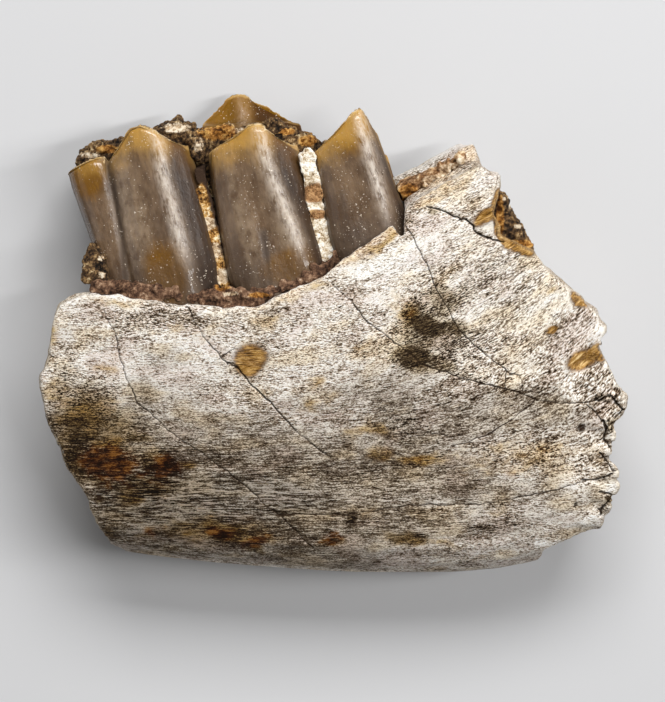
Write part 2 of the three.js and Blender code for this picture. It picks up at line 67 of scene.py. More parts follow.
# Hair cracks in the cheek face: half width in mm, depth in mm, and the points that each follows.
CRACKS = [
    (0.03, 0.13, [(-17.3, 3), (-16.4, 1.2), (-16.1, -0.5), (-15.5, -2.7), (-14.8, -4.1), (-13.1, -5.7),
        (-11.3, -7.3), (-9.9, -8.1), (-8.2, -9.4), (-6.8, -10.5), (-5.1, -12.3), (-4, -13), (-3, -14.2),
        (-1.6, -15.8)]),
    (0.03, 0.13, [(-11, 3.3), (-9.9, 1.1), (-8.4, -0.7), (-7.3, -1.4)]),
    (0.05, 0.2, [(-7.3, -1.4), (-6.6, -2.4), (-4.8, -4.1)]),
    (0.03, 0.13, [(-4.8, -4.1), (-2.5, -6.7), (-0.3, -8.5)]),
    (0.02, 0.1, [(-8.6, -0.8), (-8, -0.3), (-7.4, 0.1)]),
    (0.025, 0.11, [(-0.1, 5), (1.1, 3.8), (2.4, 2.1), (4.4, 0.6), (5.2, -0.1), (6.6, -1.2)]),
    (0.03, 0.13, [(6.6, -1.2), (8.9, -2.1), (11.3, -2.8), (12.8, -3.1), (15.1, -4), (17, -4.3),
        (18.7, -4.3), (20.1, -4.1), (21, -3.7)]),
    (0.025, 0.13, [(4.5, 9.4), (5.4, 9.2), (6, 8.3), (7.1, 5.8), (7.8, 4.3), (8.6, 2.9), (9.4, 1.3)]),
    (0.035, 0.13, [(9.4, 1.3), (10.4, 0.3), (11.8, -0.9), (13.1, -1.9)]),
    (0.025, 0.11, [(13.1, -1.9), (13.9, -2.1), (14.1, -2.6), (14.2, -3.4)]),
    (0.025, 0.11, [(13, -1.9), (12.9, -3.1)]),
    (0.025, 0.11, [(15.2, -4.1), (13.8, -5.3), (11.8, -6.6), (10.4, -7.2), (8.9, -7.7)]),
    (0.025, 0.11, [(19, -4.5), (19.6, -5), (20.2, -5.7), (20.8, -6.5)]),
    (0.02, 0.08, [(5.8, -6.6), (7.2, -6.5), (8.6, -6.8)]),
    (0.03, 0.1, [(-4.8, -12.9), (0.7, -12.9), (3, -12.6), (6.3, -12.2), (11, -12.2), (13.9, -11.7),
        (16.5, -11.2), (20.2, -10.2)]),
    (0.05, 0.3, [(7, 10.6), (8.4, 10.3), (9, 9.9), (9.9, 9.7)]),
    (0.06, 0.4, [(9.9, 9.7), (10.4, 9.2), (10.5, 8.85), (11.2, 8.4), (11.9, 8.1), (12.7, 8.05)]),
    (0.08, 0.35, [(20, -4.2), (20.5, -3.8), (21, -3.8), (21.4, -4.4), (21.8, -4.8), (21.6, -5.3)]),
    (0.08, 0.35, [(20.3, -5.7), (20.6, -6.6), (20.5, -7.3), (20.9, -7.8)]),
    (0.06, 0.3, [(20.1, -8.3), (20.8, -9.1), (21.2, -9.6)]),
    (0.06, 0.3, [(18.9, -10.4), (19.9, -10.4), (20.5, -10.2), (21.1, -9.8)]),
    (0.10, 0.4, [(20.2, -11.3), (20.8, -11.5), (21.3, -11.8)]),
    (0.08, 0.35, [(20.3, -13.2), (20.7, -12.3), (21.2, -11.8)]),
]
# Lumps that stand out along the broken rear edge: place and radius in mm.
KNOBS = [(20.2, 1.3, 0.6), (21.5, -4.1, 0.8), (21.1, -6.9, 0.6), (20.8, -8, 0.6), (21, -9.7, 0.8),
         (21.1, -10.9, 0.7), (20.8, -12.7, 0.7), (20.1, -13.7, 0.8), (19.2, -14, 0.6)]
# Small dark pits: place and radius in mm.
PITS = [(18.7, -6.3, 0.4), (13.6, -6.5, 0.2), (18.4, -12.3, 0.25), (-17.8, -11.5, 0.25),
        (9.5, -4.6, 0.18), (-7.35, -1.4, 0.16), (16.2, -7.8, 0.15)]


def take(piece):
    """Makes a piece the only one selected."""
    bpy.ops.object.select_all(action="DESELECT")
    piece.select_set(True)
    bpy.context.view_layer.objects.active = piece


def finish_with(piece, kind, **settings):
    """Adds a modifier to a piece and applies it."""
    take(piece)
    modifier = piece.modifiers.new(kind.lower(), kind)
    for setting, value in settings.items():
        setattr(modifier, setting, value)
    bpy.ops.object.modifier_apply(modifier=modifier.name)


def fine_skin(nodes, name, voxel, smoothing, swell=0, extras=()):
    """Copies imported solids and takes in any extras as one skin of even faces, voxel mm across."""
    pieces = list(extras)
    for node in nodes:
        piece = bpy.data.objects.new(name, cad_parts[node].data.copy())
        bpy.context.scene.collection.objects.link(piece)
        piece.data.materials.clear()
        pieces.append(piece)
    take(piece)
    for other in pieces:
        other.select_set(True)
    bpy.ops.object.join()
    piece.name = name
    bpy.ops.object.mode_set(mode="EDIT")
    bpy.ops.mesh.select_all(action="SELECT")
    bpy.ops.mesh.remove_doubles(threshold=WELD_REACH * MM)
    bpy.ops.object.mode_set(mode="OBJECT")
    if swell:
        finish_with(piece, "DISPLACE", strength=swell * MM, mid_level=0)
    finish_with(piece, "REMESH", mode="VOXEL", voxel_size=voxel * MM)
    finish_with(piece, "SMOOTH", factor=0.5, iterations=smoothing)
    bpy.ops.object.shade_smooth()
    return piece


def rows(items, field, width=3, kind=float):
    """What each point, edge or face of a mesh has in a field, one to a row."""
    values = np.empty(len(items) * width, kind)
    items.foreach_get(field, values)
    return values.reshape(-1, width)


def points_of(piece):
    """A piece's points in mm, and the way the skin faces at each."""
    piece.data.update()
    vertices = piece.data.vertices
    return rows(vertices, "co") / MM, rows(vertices, "normal")


def kept_inside(points, floor=0):
    """Points in mm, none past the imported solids' box or below a floor."""
    return np.clip(points, CAD_LOW + [0, 0, floor], CAD_HIGH)


def move_points(piece, points):
    """Puts a piece's points at new places, given in mm."""
    piece.data.vertices.foreach_set("co", (points * MM).ravel())
    piece.data.update()


def note(piece, **notes):
    """Keeps a number or a vector for each point of a piece, for its material to read."""
    for name, values in notes.items():
        kind, field = ("FLOAT_VECTOR", "vector") if np.ndim(values) == 2 else ("FLOAT", "value")
        attribute = piece.data.attributes.new(name, kind, "POINT")
        attribute.data.foreach_set(field, np.asarray(values, dtype=np.float32).ravel())


def step(low, high, values):
    """0 below low, 1 above high, and smooth between."""
    share = np.clip((values - low) / (high - low), 0, 1)
    return share * share * (3 - 2 * share)


def cloud(points, size, seed):
    """Smooth noise from -1 to 1 over points in mm, in lumps about size mm across."""
    place = points / size + 31.7 * seed
    corner = np.floor(place).astype(np.int64)
    share = place - corner
    share = share ** 3 * (share * (share * 6 - 15) + 10)
    total = np.zeros(len(points))
    for offset in itertools.product((0, 1), repeat=3):
        key = (corner + offset) @ np.array([73856093, 19349663, 83492791])
        key = (key ^ (key >> 13)) * 1274126177 & 0xFFFFFFFF
        key = (key ^ (key >> 15)) * 668265263 & 0xFFFFFFFF
        value = (key ^ (key >> 16)) / 0x7FFFFFFF - 1
        total += value * np.prod(np.where(offset, share, 1 - share), axis=1)
    return total


def clouds(points, size, seed, octaves=3):
    """Noise in several sizes, each half the last."""
    layers = [cloud(points, size / 2 ** i, seed + i) / 2 ** i for i in range(octaves)]
    return sum(layers) / 1.5


def from_line(points, line):
    """How far each point is from a line of corners, seen from above the face."""
    nearest = np.full(len(points), 1e9)
    for start, end in zip(line[:-1], line[1:]):
        start = np.array(start)
        run = np.array(end) - start
        offset = points[:, :2] - start
        share = np.clip(offset @ run / (run @ run), 0, 1)
        away = np.linalg.norm(offset - share[:, None] * run, axis=1)
        nearest = np.minimum(nearest, away)
    return nearest


def patch(points, x, y, length, width, turn=0, soft=0.5):
    """1 inside an oval on the face, falling to 0 past its edge."""
    angle = math.radians(turn)
    right, up, _ = (points - [x, y, 0]).T
    along = right * math.cos(angle) + up * math.sin(angle)
    across = up * math.cos(angle) - right * math.sin(angle)
    reach = np.hypot(2 * along / length, 2 * across / width)
    return 1 - step(1 - soft, 1 + soft, reach)


def patches(points, ovals, soft):
    """1 inside any of some ovals on the face."""
    return np.max([patch(points, *oval, soft=soft) for oval in ovals], axis=0)


def refine_near(piece, lines, reach, cuts):
    """Divides the faces of a piece's cheek side that lie near any of some lines."""
    centres = rows(piece.data.polygons, "center") / MM
    near = np.min([from_line(centres, line) for line in lines], axis=0) < reach
    near &= rows(piece.data.polygons, "normal")[:, 2] > 0.2
    take(piece)
    bpy.ops.object.mode_set(mode="EDIT")
    bpy.ops.mesh.select_all(action="DESELECT")
    bpy.ops.object.mode_set(mode="OBJECT")
    piece.data.polygons.foreach_set("select", near)
    bpy.ops.object.mode_set(mode="EDIT")
    bpy.ops.mesh.select_mode(type="FACE")
    bpy.ops.mesh.subdivide(number_cuts=cuts)
    bpy.ops.object.mode_set(mode="OBJECT")


def grain_of(points):
    """Where each point lies along, across and under the grain, which climbs towards the rear."""
    x, y, z = points.T
    climb = np.clip(x + 8, 0, None) ** 2 / 46 * step(-14, 8, y) * 0.55
    return np.stack([x, y - climb, z], axis=1)


def hollows(piece, points, facing):
    """How far each point stands out of its neighbours, in mm: sharp edges are positive."""
    edges = rows(piece.data.edges, "vertices", 2, np.int64)
    total = np.zeros_like(points)
    count = np.zeros(len(points))
    for near, far in ((0, 1), (1, 0)):
        count += np.bincount(edges[:, near], minlength=len(points))
        for axis in range(3):
            total[:, axis] += np.bincount(edges[:, near], points[edges[:, far], axis], len(points))
    mean = total / np.maximum(count, 1)[:, None]
    return np.einsum("ij,ij->i", points - mean, facing)


def moved_about(points, amount, across, along):
    """Points moved over the face by two noises, up to amount mm by each."""
    return points + amount * np.stack([across, along, 0 * across], axis=1)


def splint(place, size, turn):
    """A block in the thickness of the bone, which the fine skin takes in."""
    bpy.ops.object.select_all(action="DESELECT")
    bpy.ops.mesh.primitive_cube_add(
        size=1, location=[value * MM for value in place],
        rotation=(0, 0, math.radians(turn)), scale=[value * MM for value in size])
    return bpy.context.object


# The socket's border is as thin as paper beside the rear lobe; a splint under it keeps it whole.
# Three more carry the ends of the far wall's crest and the upper corner out to where they broke.
splints = [
    splint((3.08, 7.11, 11.1), (4.4, 2.1, 0.45), 36), splint((10.2, 14.05, 6.3), (1.5, 1.5, 2), 20),
    splint((11.72, 12.6, 9.4), (1.5, 0.95, 2.2), -6), splint((5.4, 12.3, 5.2), (2.2, 0.7, 1.6), 24),
]
bone = fine_skin(["jaw_bone"], "bone", BONE_VOXEL, 3, 0, splints)
refine_near(bone, [line for _, _, line in CRACKS], CRACK_MARGIN, 3)
points, facing = points_of(bone)
x, y, z = points.T
grain = grain_of(points)

# Broken ends face forwards or backwards; the socket and the border do not.
upright = 1 - step(0.55, 0.85, np.abs(facing[:, 2]))
endways = step(0.25, 0.55, np.abs(facing[:, 0]))
broken = upright * endways * step(14.5, 17, np.abs(x) + 0.35 * y.clip(0, 14))
splinter = points * [0.55, 1, 1]
breaking = clouds(splinter, 2.2, 1, 4) * 0.3 + clouds(splinter, 0.8, 7, 2) * 0.14 - 0.1
ripple = clouds(grain * [0.16, 0.8, 0.8], 1.6, 20, 3) * 0.07
fibre = cloud(grain * [0.25, 1, 1], 0.42, 25) * 0.02
plain = 1 - broken
border = upright * step(0.2, 0.6, facing[:, 1]) * step(8.5, 10, z) * plain
ragged = clouds(points, 0.9, 27, 3) * 0.22 - 0.05
lift = broken * breaking + plain * (ripple + fibre) + border * ragged

cheek = step(0.2, 0.6, facing[:, 2]) * step(5.5, 7.5, z)
wander = moved_about(points, 0.09, cloud(points, 0.7, 40), cloud(points, 0.7, 41))
wander = moved_about(wander, 0.05, cloud(points, 0.25, 42), cloud(points, 0.25, 43))
fading = 0.68 + 0.32 * step(-0.5, 0.3, cloud(points, 1.3, 44))
crack = np.zeros(len(points))
for half, depth, line in CRACKS:
    near = from_line(wander, line)
    cut = (1 - step(0.4 * half, 0.05 + half, near)) * fading
    crack = np.maximum(crack, cut * cheek)
    lift -= depth * cut * cheek
for at_x, at_y, radius in PITS:
    hole = (1 - step(0.4 * radius, 1.2 * radius, np.hypot(x - at_x, y - at_y))) * cheek
    crack = np.maximum(crack, hole)
    lift -= 0.6 * radius * hole

# The rear end is flaked: little steps across the grain, worn round.
flaky = step(17.6, 20.6, x + 0.8 * cloud(points, 2, 28)) * cheek * step(6, 3, y)
flakes = step(-0.12, 0.12, clouds(points * [0.7, 1, 0.5], 1.1, 29, 2))
lift += flaky * (0.26 * flakes - 0.16 - 0.1 * np.abs(cloud(points, 0.7, 31)))
knobbly = np.zeros(len(points))
for at_x, at_y, radius in KNOBS:
    knob = 1 - step(0.3, 1.3, np.hypot(x - at_x, y - at_y) / radius)
    knobbly = np.maximum(knobbly, knob * step(4, 7, z))
lift += knobbly * (0.1 + 0.25 * broken)

# A facet where the upper rear corner chipped, above the widest crack.
facet = step(-0.1, 0.8, (x - 11.2) * 0.95 - (y - 8.3) * 0.3) * step(7.9, 8.5, y)
lift -= 0.5 * facet * cheek * plain

move_points(bone, kept_inside(points + facing * lift[:, None]))
finish_with(bone, "SMOOTH", factor=0.3, iterations=1)
points, facing = points_of(bone)
x, y, z = points.T
edge = hollows(bone, points, facing) / (0.25 * BONE_VOXEL)
note(bone, grain=grain, crack=crack, broken=broken, edge=edge)

uneven = moved_about(points, 0.6, clouds(grain, 1.6, 50), clouds(grain, 1.6, 53))


def most(places, around=uneven, soft=0.6):
    """The strongest of some ovals: each one's strength, x, y, length, width and any turn."""
    ovals = [strength * patch(around, *place, soft=soft) for strength, *place in places]
    return np.max(ovals, axis=0) * cheek


# The lower half of the face is weathered grey and painted darker as shade, less so towards the
# rear and the border.
height = y + 0.03 * x + 1.6 * clouds(grain * [0.3, 1, 1], 3, 60)
low_down = step(0, -12, height)
low_down *= 1 - 0.45 * step(6, 14, x)
low_down *= 1 - 0.5 * step(0.5, 5, x) * step(-10.2, -12.5, y)
low_down *= 1 - 0.25 * step(-14.3, -15.8, y)
weather = np.maximum(low_down * 0.95 * cheek, most([
    (1, -19.8, -9, 7, 9, 20), (1.6, -13.5, -12.4, 13, 7, -12), (0.7, 6.5, -5.8, 22, 5, -4),
    (0.6, 14.5, -4.6, 12, 3, -8), (0.7, 1.5, -9.9, 5, 1.2), (0.5, 8, -9.3, 5, 1.4), (0.25, -19, 1.5, 5, 4),
    (0.3, -13, -0.5, 5, 2.4, 10), (0.55, 19, -6.2, 4, 4.4), (0.3, 1, -7, 4, 3), (0.4, 12, -9.5, 4, 1.6),
    (0.4, 7, -11.2, 5, 1.4), (0.45, 11, -14.2, 3, 1),
]))
# Ovals of extra weathering and painted shade, and below them ovals of less.
weather += most([
    (0.75, -7.2, -11.4, 14.5, 3.6, -2), (0.45, 5.3, -13.9, 5, 2.6), (0.2, 13.6, -12.9, 10, 4, 6),
    (0.33, 4.2, -2.2, 8, 3.2), (0.28, 15.6, -3.2, 4.4, 2.4), (0.35, -14.7, -3.2, 2.6, 2.4),
    (0.2, 13.7, -1, 4.4, 2.2),
])
weather -= most([
    (0.18, 1.1, -5.3, 5, 2.6), (0.14, 6.4, -5.3, 3, 2.6), (0.1, -8.6, -7.2, 7, 2.4),
    (0.14, 14, -7.4, 5.6, 2.6), (0.25, -10.4, 1.2, 2.8, 2.4), (0.2, -14.7, 1.2, 2.8, 2.4),
    (0.3, 19, -3, 3, 2.4), (0.35, 19, -9.6, 2.6, 3), (0.25, 17, 1.2, 2.6, 2.4),
])
note(bone, weather=weather)

# Manganese, darkest below the socket's rear end, at the front end and along the borders.
note(bone, stain=most([
    (1.7, 7.1, 1.6, 3.4, 2, -22), (1.15, 8.5, 1.6, 2.8, 1.5, -8), (0.8, 6.2, 2.4, 3, 2.4, 30),
    (1.4, 5.9, -0.9, 3.6, 2.1, -30), (1, 7.6, -1.4, 3.4, 1.3, -16), (0.95, 6.6, 0.8, 3.2, 3.2, 10),
    (0.85, 8.5, 3.5, 2.8, 2.2, 20), (0.5, 9.8, 4.4, 2.4, 2, 30), (0.6, 7.4, 0.8, 6, 4.4, -10),
    (0.5, 9.4, -2.3, 5, 0.9, -10), (0.9, 7.4, 10.5, 1.4, 0.6, 20), (0.6, 5.4, 9.4, 1.2, 0.5, -30),
    (0.5, 5, -4.7, 3, 1.2), (0.9, -18.4, -4.4, 3.8, 4.2), (1, -18, -5.9, 7.4, 2.8),
    (1.2, -19.4, -6.6, 3.4, 2), (0.9, -20.4, -7.8, 2.6, 4.4), (1.2, -15, -6.7, 2.6, 0.9, -8),
    (0.7, -15.8, -5, 3, 1.4), (1.1, -19.4, -9, 2.2, 3.4), (0.8, -17, -8.4, 4.8, 3),
    (0.95, -14.4, -10.7, 5.4, 1.8), (0.45, -13, -12.8, 10, 4.6), (0.5, -20.2, -5, 2.4, 9),
    (0.9, -17.4, -10.4, 3.2, 0.9), (0.9, -13.6, -8.6, 2.4, 2.2), (1.3, -17.8, -11.6, 0.9, 0.5),
    (0.7, -15.6, -13.3, 4, 0.5), (1.1, -13.8, -14.1, 1.2, 0.8), (0.8, -14.4, -14.8, 2, 0.6),
    (0.8, -11.8, -13.9, 3.4, 1.4), (0.45, -9, -14.4, 4.6, 2), (1.1, -8.8, -14.8, 1.6, 0.8),
    (1.2, -6.2, -15.9, 2, 0.9), (0.9, -5.4, -15, 2.2, 0.8), (1.2, -0.4, -15.1, 2.2, 1),
    (1, 5, -14.9, 2.4, 0.9), (0.7, 6.4, -15.3, 2, 0.8), (0.8, 1.4, -13, 0.9, 0.5),
    (0.35, 12.4, -12.2, 1.4, 0.9, -20), (0.6, 11.2, -14.2, 1.8, 0.7), (0.7, 9.9, -16.8, 1, 0.3),
    (0.9, 12.6, 10.6, 0.9, 2.4), (0.9, 10.9, 14.1, 0.4, 0.9), (0.9, 21, -5.9, 1, 1),
    (0.9, 21, -11.9, 1, 0.8), (0.6, 20.6, -3.9, 1.6, 0.8), (0.5, 20.5, -12.8, 1, 0.8),
    (0.4, 3.4, -14.2, 1.4, 0.5), (0.4, 1.5, -9.9, 3.6, 0.9), (0.4, -8, -0.9, 1.8, 1.2, -40),
    (0.35, 4.8, -5.9, 5, 1.6), (0.3, -16.5, -2.6, 3, 1.2, -30), (0.3, 15, -3.1, 2, 0.8),
    (0.2, 16, -9.2, 5, 3.4), (0.3, 12.5, -13.8, 5, 1.6), (0.35, 12.6, -7.6, 4, 1.4, 10),
]))

# Iron: rust at the front end and the lower border, and ochre round it and elsewhere.
note(bone, rust=most([
    (1.7, -16.9, -8.9, 3.6, 3, -6), (1.4, -12.9, -9.3, 2.2, 2.2, -20), (0.8, -14.9, -9.6, 3, 1.2),
    (1.2, -0.4, -14.9, 1.8, 1.5), (1.3, -6.3, -15.3, 2.6, 1.5, 20), (1.2, -8.9, -14.5, 1.6, 1.1, 10),
    (1.1, -13.9, -14.3, 1.3, 1), (0.4, 3.6, -8.4, 1.6, 0.8), (0.5, 16.1, 1.1, 0.8, 0.4, 30),
    (0.45, -9, -14.6, 4, 1.2), (0.45, 6.2, -8.6, 3.6, 0.7), (0.5, 5.6, 2.6, 0.8, 1.6, -20),
    (0.3, -11.5, 3.2, 3, 0.6, -6), (0.55, -8, 3.2, 1.6, 0.6, -6), (0.4, -12.4, 3.2, 2.2, 0.5, -10),
], soft=0.7))
note(bone, ochre=most([
    (1.1, -17, -7.1, 3, 1.4), (0.9, -8.4, -14.3, 8.6, 2.4, -2), (0.9, -11.2, -8.9, 1.8, 1),
    (1, 3.4, -8.2, 2.2, 1.2), (0.9, 6.2, -8.6, 5, 0.9), (0.9, 3.2, -6.3, 3, 1, -14),
    (0.6, 1.4, -6.4, 3, 1, 20), (0.8, 5.8, -15.2, 3, 0.9), (0.8, -1.6, -4.6, 1.6, 0.9, 20),
    (0.7, 0.1, -3.5, 1.6, 0.9, 30), (0.8, 8.2, -15.3, 2.4, 0.7), (0.5, 2.4, -12.6, 3, 1),
    (0.9, 5.6, 2.6, 1.6, 2.2, 30), (0.6, -1.4, -2.4, 1.4, 1.2, 30), (0.9, -18.6, -4.8, 4.4, 3.6),
    (0.55, -2.5, 4.2, 6, 1, 20), (0.6, -5.2, 2.1, 2.6, 1, 20), (0.5, -11.8, 1.5, 2, 0.9, 10),
    (0.7, -17.2, -1.5, 3, 0.6), (0.7, -20.8, -3.2, 2.4, 1.6), (0.5, 4.9, 3.4, 2.6, 1.6, 20),
    (0.9, -15.6, -11.6, 2.6, 1.4), (0.7, -21.2, 1.5, 1.2, 3), (0.4, -9.6, 1.2, 3, 1.6),
    (0.5, 7.4, 3.9, 1.6, 1.2), (0.5, 12.5, -12.5, 1.6, 1), (0.7, -17.4, -14.4, 1.2, 1.4),
    (0.6, -16.5, 3.6, 4, 0.6, -4), (0.9, 3.6, 8.3, 4, 0.8, 30), (0.5, 16, 4.4, 2.4, 0.8, 10),
    (0.6, 8.3, 12.3, 6, 1.6, 33), (0.5, 14, -8.5, 12, 3, 6), (0.6, 1.8, 6.8, 3.4, 0.8, 30),
    (0.5, 1.6, 0.2, 2, 1, 10), (0.6, 20.2, -8.6, 1.4, 1.6),
], soft=0.7))

# Chips through the hard skin have a less uneven outline than a stain.
outline = points + 0.4 * (uneven - points)
chips = most([
    (1, -6.2, -0.85, 2.5, 2.3, 35), (1, 18.8, -0.95, 2.6, 1.5, 24), (0.9, 19.9, -0.5, 1.8, 1.5),
    (1, 18.3, 3.8, 1.9, 0.9, -50), (1, 11.4, 9.9, 2.2, 1.2, 34), (0.95, 16.4, 1.3, 1.3, 0.6, 30),
    (1, 12.1, 10.7, 0.5, 1.6, 10), (1, 14, 7.75, 2.6, 0.8, -20),
], outline, 0.4)
whitened = most([
    (1.6, 11.9, 9, 2, 1.3, -20), (0.85, 3.6, 6.2, 6, 2.4, 24), (0.55, 6.4, 6.8, 3, 4, 20),
    (0.6, 8.3, 12.3, 6, 1.5, 33), (0.5, 18.4, 1.4, 4.4, 1.8, 20), (0.5, 17, -0.2, 3, 0.5, 24),
    (0.4, -9.4, -0.9, 2.6, 1.6), (0.4, -9, 2.6, 4.4, 1), (0.35, -16, 1.9, 2, 1.2), (0.35, -17, 0, 4, 0.6),
    (0.8, 20.9, -10.9, 1.4, 0.7), (0.7, 20, -13.5, 2.6, 0.5, 20), (0.9, 15.7, -15.6, 0.9, 0.5, 20),
    (0.4, 11.6, 12.4, 2, 1.6), (0.6, 14.2, 2.9, 9.5, 3.4, 22), (0.5, 12.8, 6, 6, 1.6, -30),
    (0.6, 13.8, 6.9, 3.4, 0.5, -22),
])
far_wall = step(6.4, 5.6, z) * patch(points, 7.2, 13, 8, 2.6, 24, 0.3)
note(bone, bleach=whitened + 0.5 * knobbly * cheek + 0.8 * far_wall)

corner_facet = [(12.5, 11.6), (12.3, 10), (12.45, 8.7), (13.1, 7.9), (14.6, 7.3)]
note(bone, chip=np.maximum(chips, step(0.6, 0.35, from_line(points, corner_facet))))

# Bone is tan in the hollow behind the teeth, along their feet and below the far crest.
hollow_crest = [(4, 11.6), (6.8, 12.8), (8.6, 13.6), (10.6, 14.6)]
behind = step(1.6, 0.5, from_line(points, hollow_crest)) * step(10.4, 9.2, z - 0.1 * x)
behind *= step(5.9, 6.6, z) * (1 - 0.5 * step(7, 9.5, x))
margin = [(-6, 3.6), (-3.4, 4.6), (-0.6, 6.2), (1.6, 7.8), (4.2, 9.2)]
margin_tan = 0.7 * step(1.3, 0.1, from_line(points, margin)) * cheek
crest_tan = 0.6 * patch(uneven, 7.6, 11.9, 5.5, 1.4, 33, 0.6) * cheek
note(bone, tan=np.max([behind, margin_tan, crest_tan], axis=0))


class Wire:
    """A value in a material: sums and products of wires add their own Math nodes."""

    def __init__(self, tree, socket=None):
        self.tree = tree
        self.socket = socket

    def node(self, kind, sockets, output=0, stops=None, **settings):
        """Adds a node: its settings first, then the values or links of its sockets."""
        made = self.tree.nodes.new("ShaderNode" + kind)
        for setting, value in settings.items():
            setattr(made, setting, value)
        if stops:
            elements = made.color_ramp.elements
            while len(elements) < len(stops):
                elements.new(0.5)
            for element, (at, colour) in zip(elements, stops):
                element.position = at
                element.color = colour
        for socket, value in sockets.items():
            if isinstance(value, Wire):
                self.tree.links.new(value.socket, made.inputs[socket])
            else:
                made.inputs[socket].default_value = value
        return Wire(self.tree, made.outputs[output])

    def maths(self, operation, first, second):
        return self.node("Math", {0: first, 1: second}, operation=operation)

    def __add__(self, other):
        return self.maths("ADD", self, other)

    def __sub__(self, other):
        return self.maths("SUBTRACT", self, other)

    def __rsub__(self, other):
        return self.maths("SUBTRACT", other, self)

    def __mul__(self, other):
        return self.maths("MULTIPLY", self, other)

    __radd__ = __add__
    __rmul__ = __mul__

    def step(self, low, high):
        """0 below low, 1 above high, and smooth between."""
        return self.node("MapRange", {0: self, 1: low, 2: high}, interpolation_type="SMOOTHSTEP")

    def pick(self, plain, other):
        """The plain colour where this value is 0, and the other where it is 1."""
        return self.node("Mix", {0: self, 6: plain, 7: other}, 2, data_type="RGBA")

    def glaze(self, plain, film):
        """The plain colour, seen through a coloured film where this value is above 0."""
        return self.node("Mix", {0: self, 6: plain, 7: film}, 2, data_type="RGBA", blend_type="MULTIPLY")

    def ramp(self, stops):
        """Colours along this value: where each stands, and its screen values."""
        return self.node("ValToRGB", {0: self}, stops=[(at, tint(*screen)) for at, *screen in stops])

    def times(self, *scale):
        """This vector, stretched along each axis, or by one number along all three."""
        scale = scale if len(scale) == 3 else scale * 3
        return self.node("VectorMath", {0: self, 1: scale}, operation="MULTIPLY")

    def read(self, name, output=2):
        """A number that the piece keeps for each point, or a vector with output=1."""
        return self.node("Attribute", {}, output, attribute_name=name)

    def place(self):
        """Where each point of the piece lies, in mm."""
        return self.node("TexCoord", {}, 3).times(1 / MM)

    def noise(self, detail=2, roughness=0.5):
        """Noise of lumps about 1 across, in the units of this vector."""
        sockets = {"Vector": self, "Scale": 1, "Detail": detail, "Roughness": roughness}
        return self.node("TexNoise", sockets)


def tint(red, green, blue):
    """A colour from its screen values, 0 to 255."""
    shares = [value / 255 for value in (red, green, blue)]
    return (*[s / 12.92 if s <= 0.04045 else ((s + 0.055) / 1.055) ** 2.4 for s in shares], 1)


def new_finish(name):
    """An empty material with its shader node and a wire to start expressions from."""
    material = bpy.data.materials.new(name)
    material.use_nodes = True
    shader = material.node_tree.nodes["Principled BSDF"]
    return material, shader, Wire(material.node_tree)


def set_shader(shader, **values):
    """Gives the shader's sockets a wire each, or a number or colour for the whole piece."""
    for name, value in values.items():
        socket = shader.inputs[name.replace("_", " ")]
        if isinstance(value, Wire):
            value.tree.links.new(value.socket, socket)
        else:
            socket.default_value = value


def bumped(start, height, depth):
    """A bump that feeds Normal, depth mm from low to high."""
    return start.node("Bump", {"Height": height, "Strength": 1, "Distance": depth * MM})


PALE_RUN = [(0.28, 38, 26, 15), (0.36, 96, 78, 58), (0.43, 164, 146, 126), (0.49, 214, 200, 183),
            (0.55, 241, 233, 221), (0.63, 255, 253, 249)]
WORN_AND_SHADED_RUN = [(0.33, 28, 19, 10), (0.44, 70, 56, 41), (0.52, 106, 92, 75), (0.59, 148, 135, 117),
            (0.69, 216, 205, 189)]
BLEACHED_RUN = [(0.34, 120, 104, 84), (0.43, 212, 200, 184), (0.52, 246, 242, 234), (0.6, 255, 254, 251)]
STAINED_RUN = [(0.36, 14, 7, 2), (0.48, 48, 33, 15), (0.6, 98, 76, 42), (0.72, 170, 146, 104)]
RUSTY_RUN = [(0.4, 20, 7, 0), (0.47, 46, 20, 3), (0.54, 80, 42, 9), (0.62, 124, 80, 30)]
CHIP_RUN = [(0.2, 80, 52, 14), (0.42, 128, 88, 30), (0.6, 166, 122, 52), (0.78, 204, 164, 98),
            (0.9, 232, 202, 146)]
TAN_RUN = [(0.34, 74, 46, 24), (0.44, 148, 108, 70), (0.52, 212, 182, 140), (0.62, 248, 232, 202)]
TORN_RUN = [(0.35, 82, 64, 44), (0.6, 196, 176, 146)]

bone_finish, shader, start = new_finish("fossil_bone")
lie = start.read("grain", 1)
weathered = start.read("weather")
bleach = start.read("bleach")
stain = start.read("stain")
chip = start.read("chip")

# Patterns along the grain, from the finest to the broadest.
specks = lie.times(7, 18, 18).noise(1, 0.5)
flecks = lie.times(3.4, 12, 12).noise(4, 0.66)
lines = lie.times(1, 9.5, 9.5).noise(3, 0.62)
streaks = lie.times(0.45, 2.4, 2.4).noise(3, 0.55)
clumps = lie.times(1, 1.9, 1.9).noise()
banks = lie.times(0.36, 0.6, 0.6).noise()
warmth = lie.times(0.28, 0.5, 0.5).noise()
drifts = lie.times(0.12, 0.34, 0.34).noise()
fibres = flecks * (0.8 - 0.45 * weathered) + lines * (0.2 + 0.45 * weathered)
fibres = (fibres - 0.5) * 1.42 + 0.5 + (specks - 0.5) * 0.62
fibres = fibres + (streaks - 0.5) * 0.2 + (clumps - 0.5) * 0.22
fibres = fibres + (drifts - 0.5) * 0.28 + (banks - 0.5) * 0.36
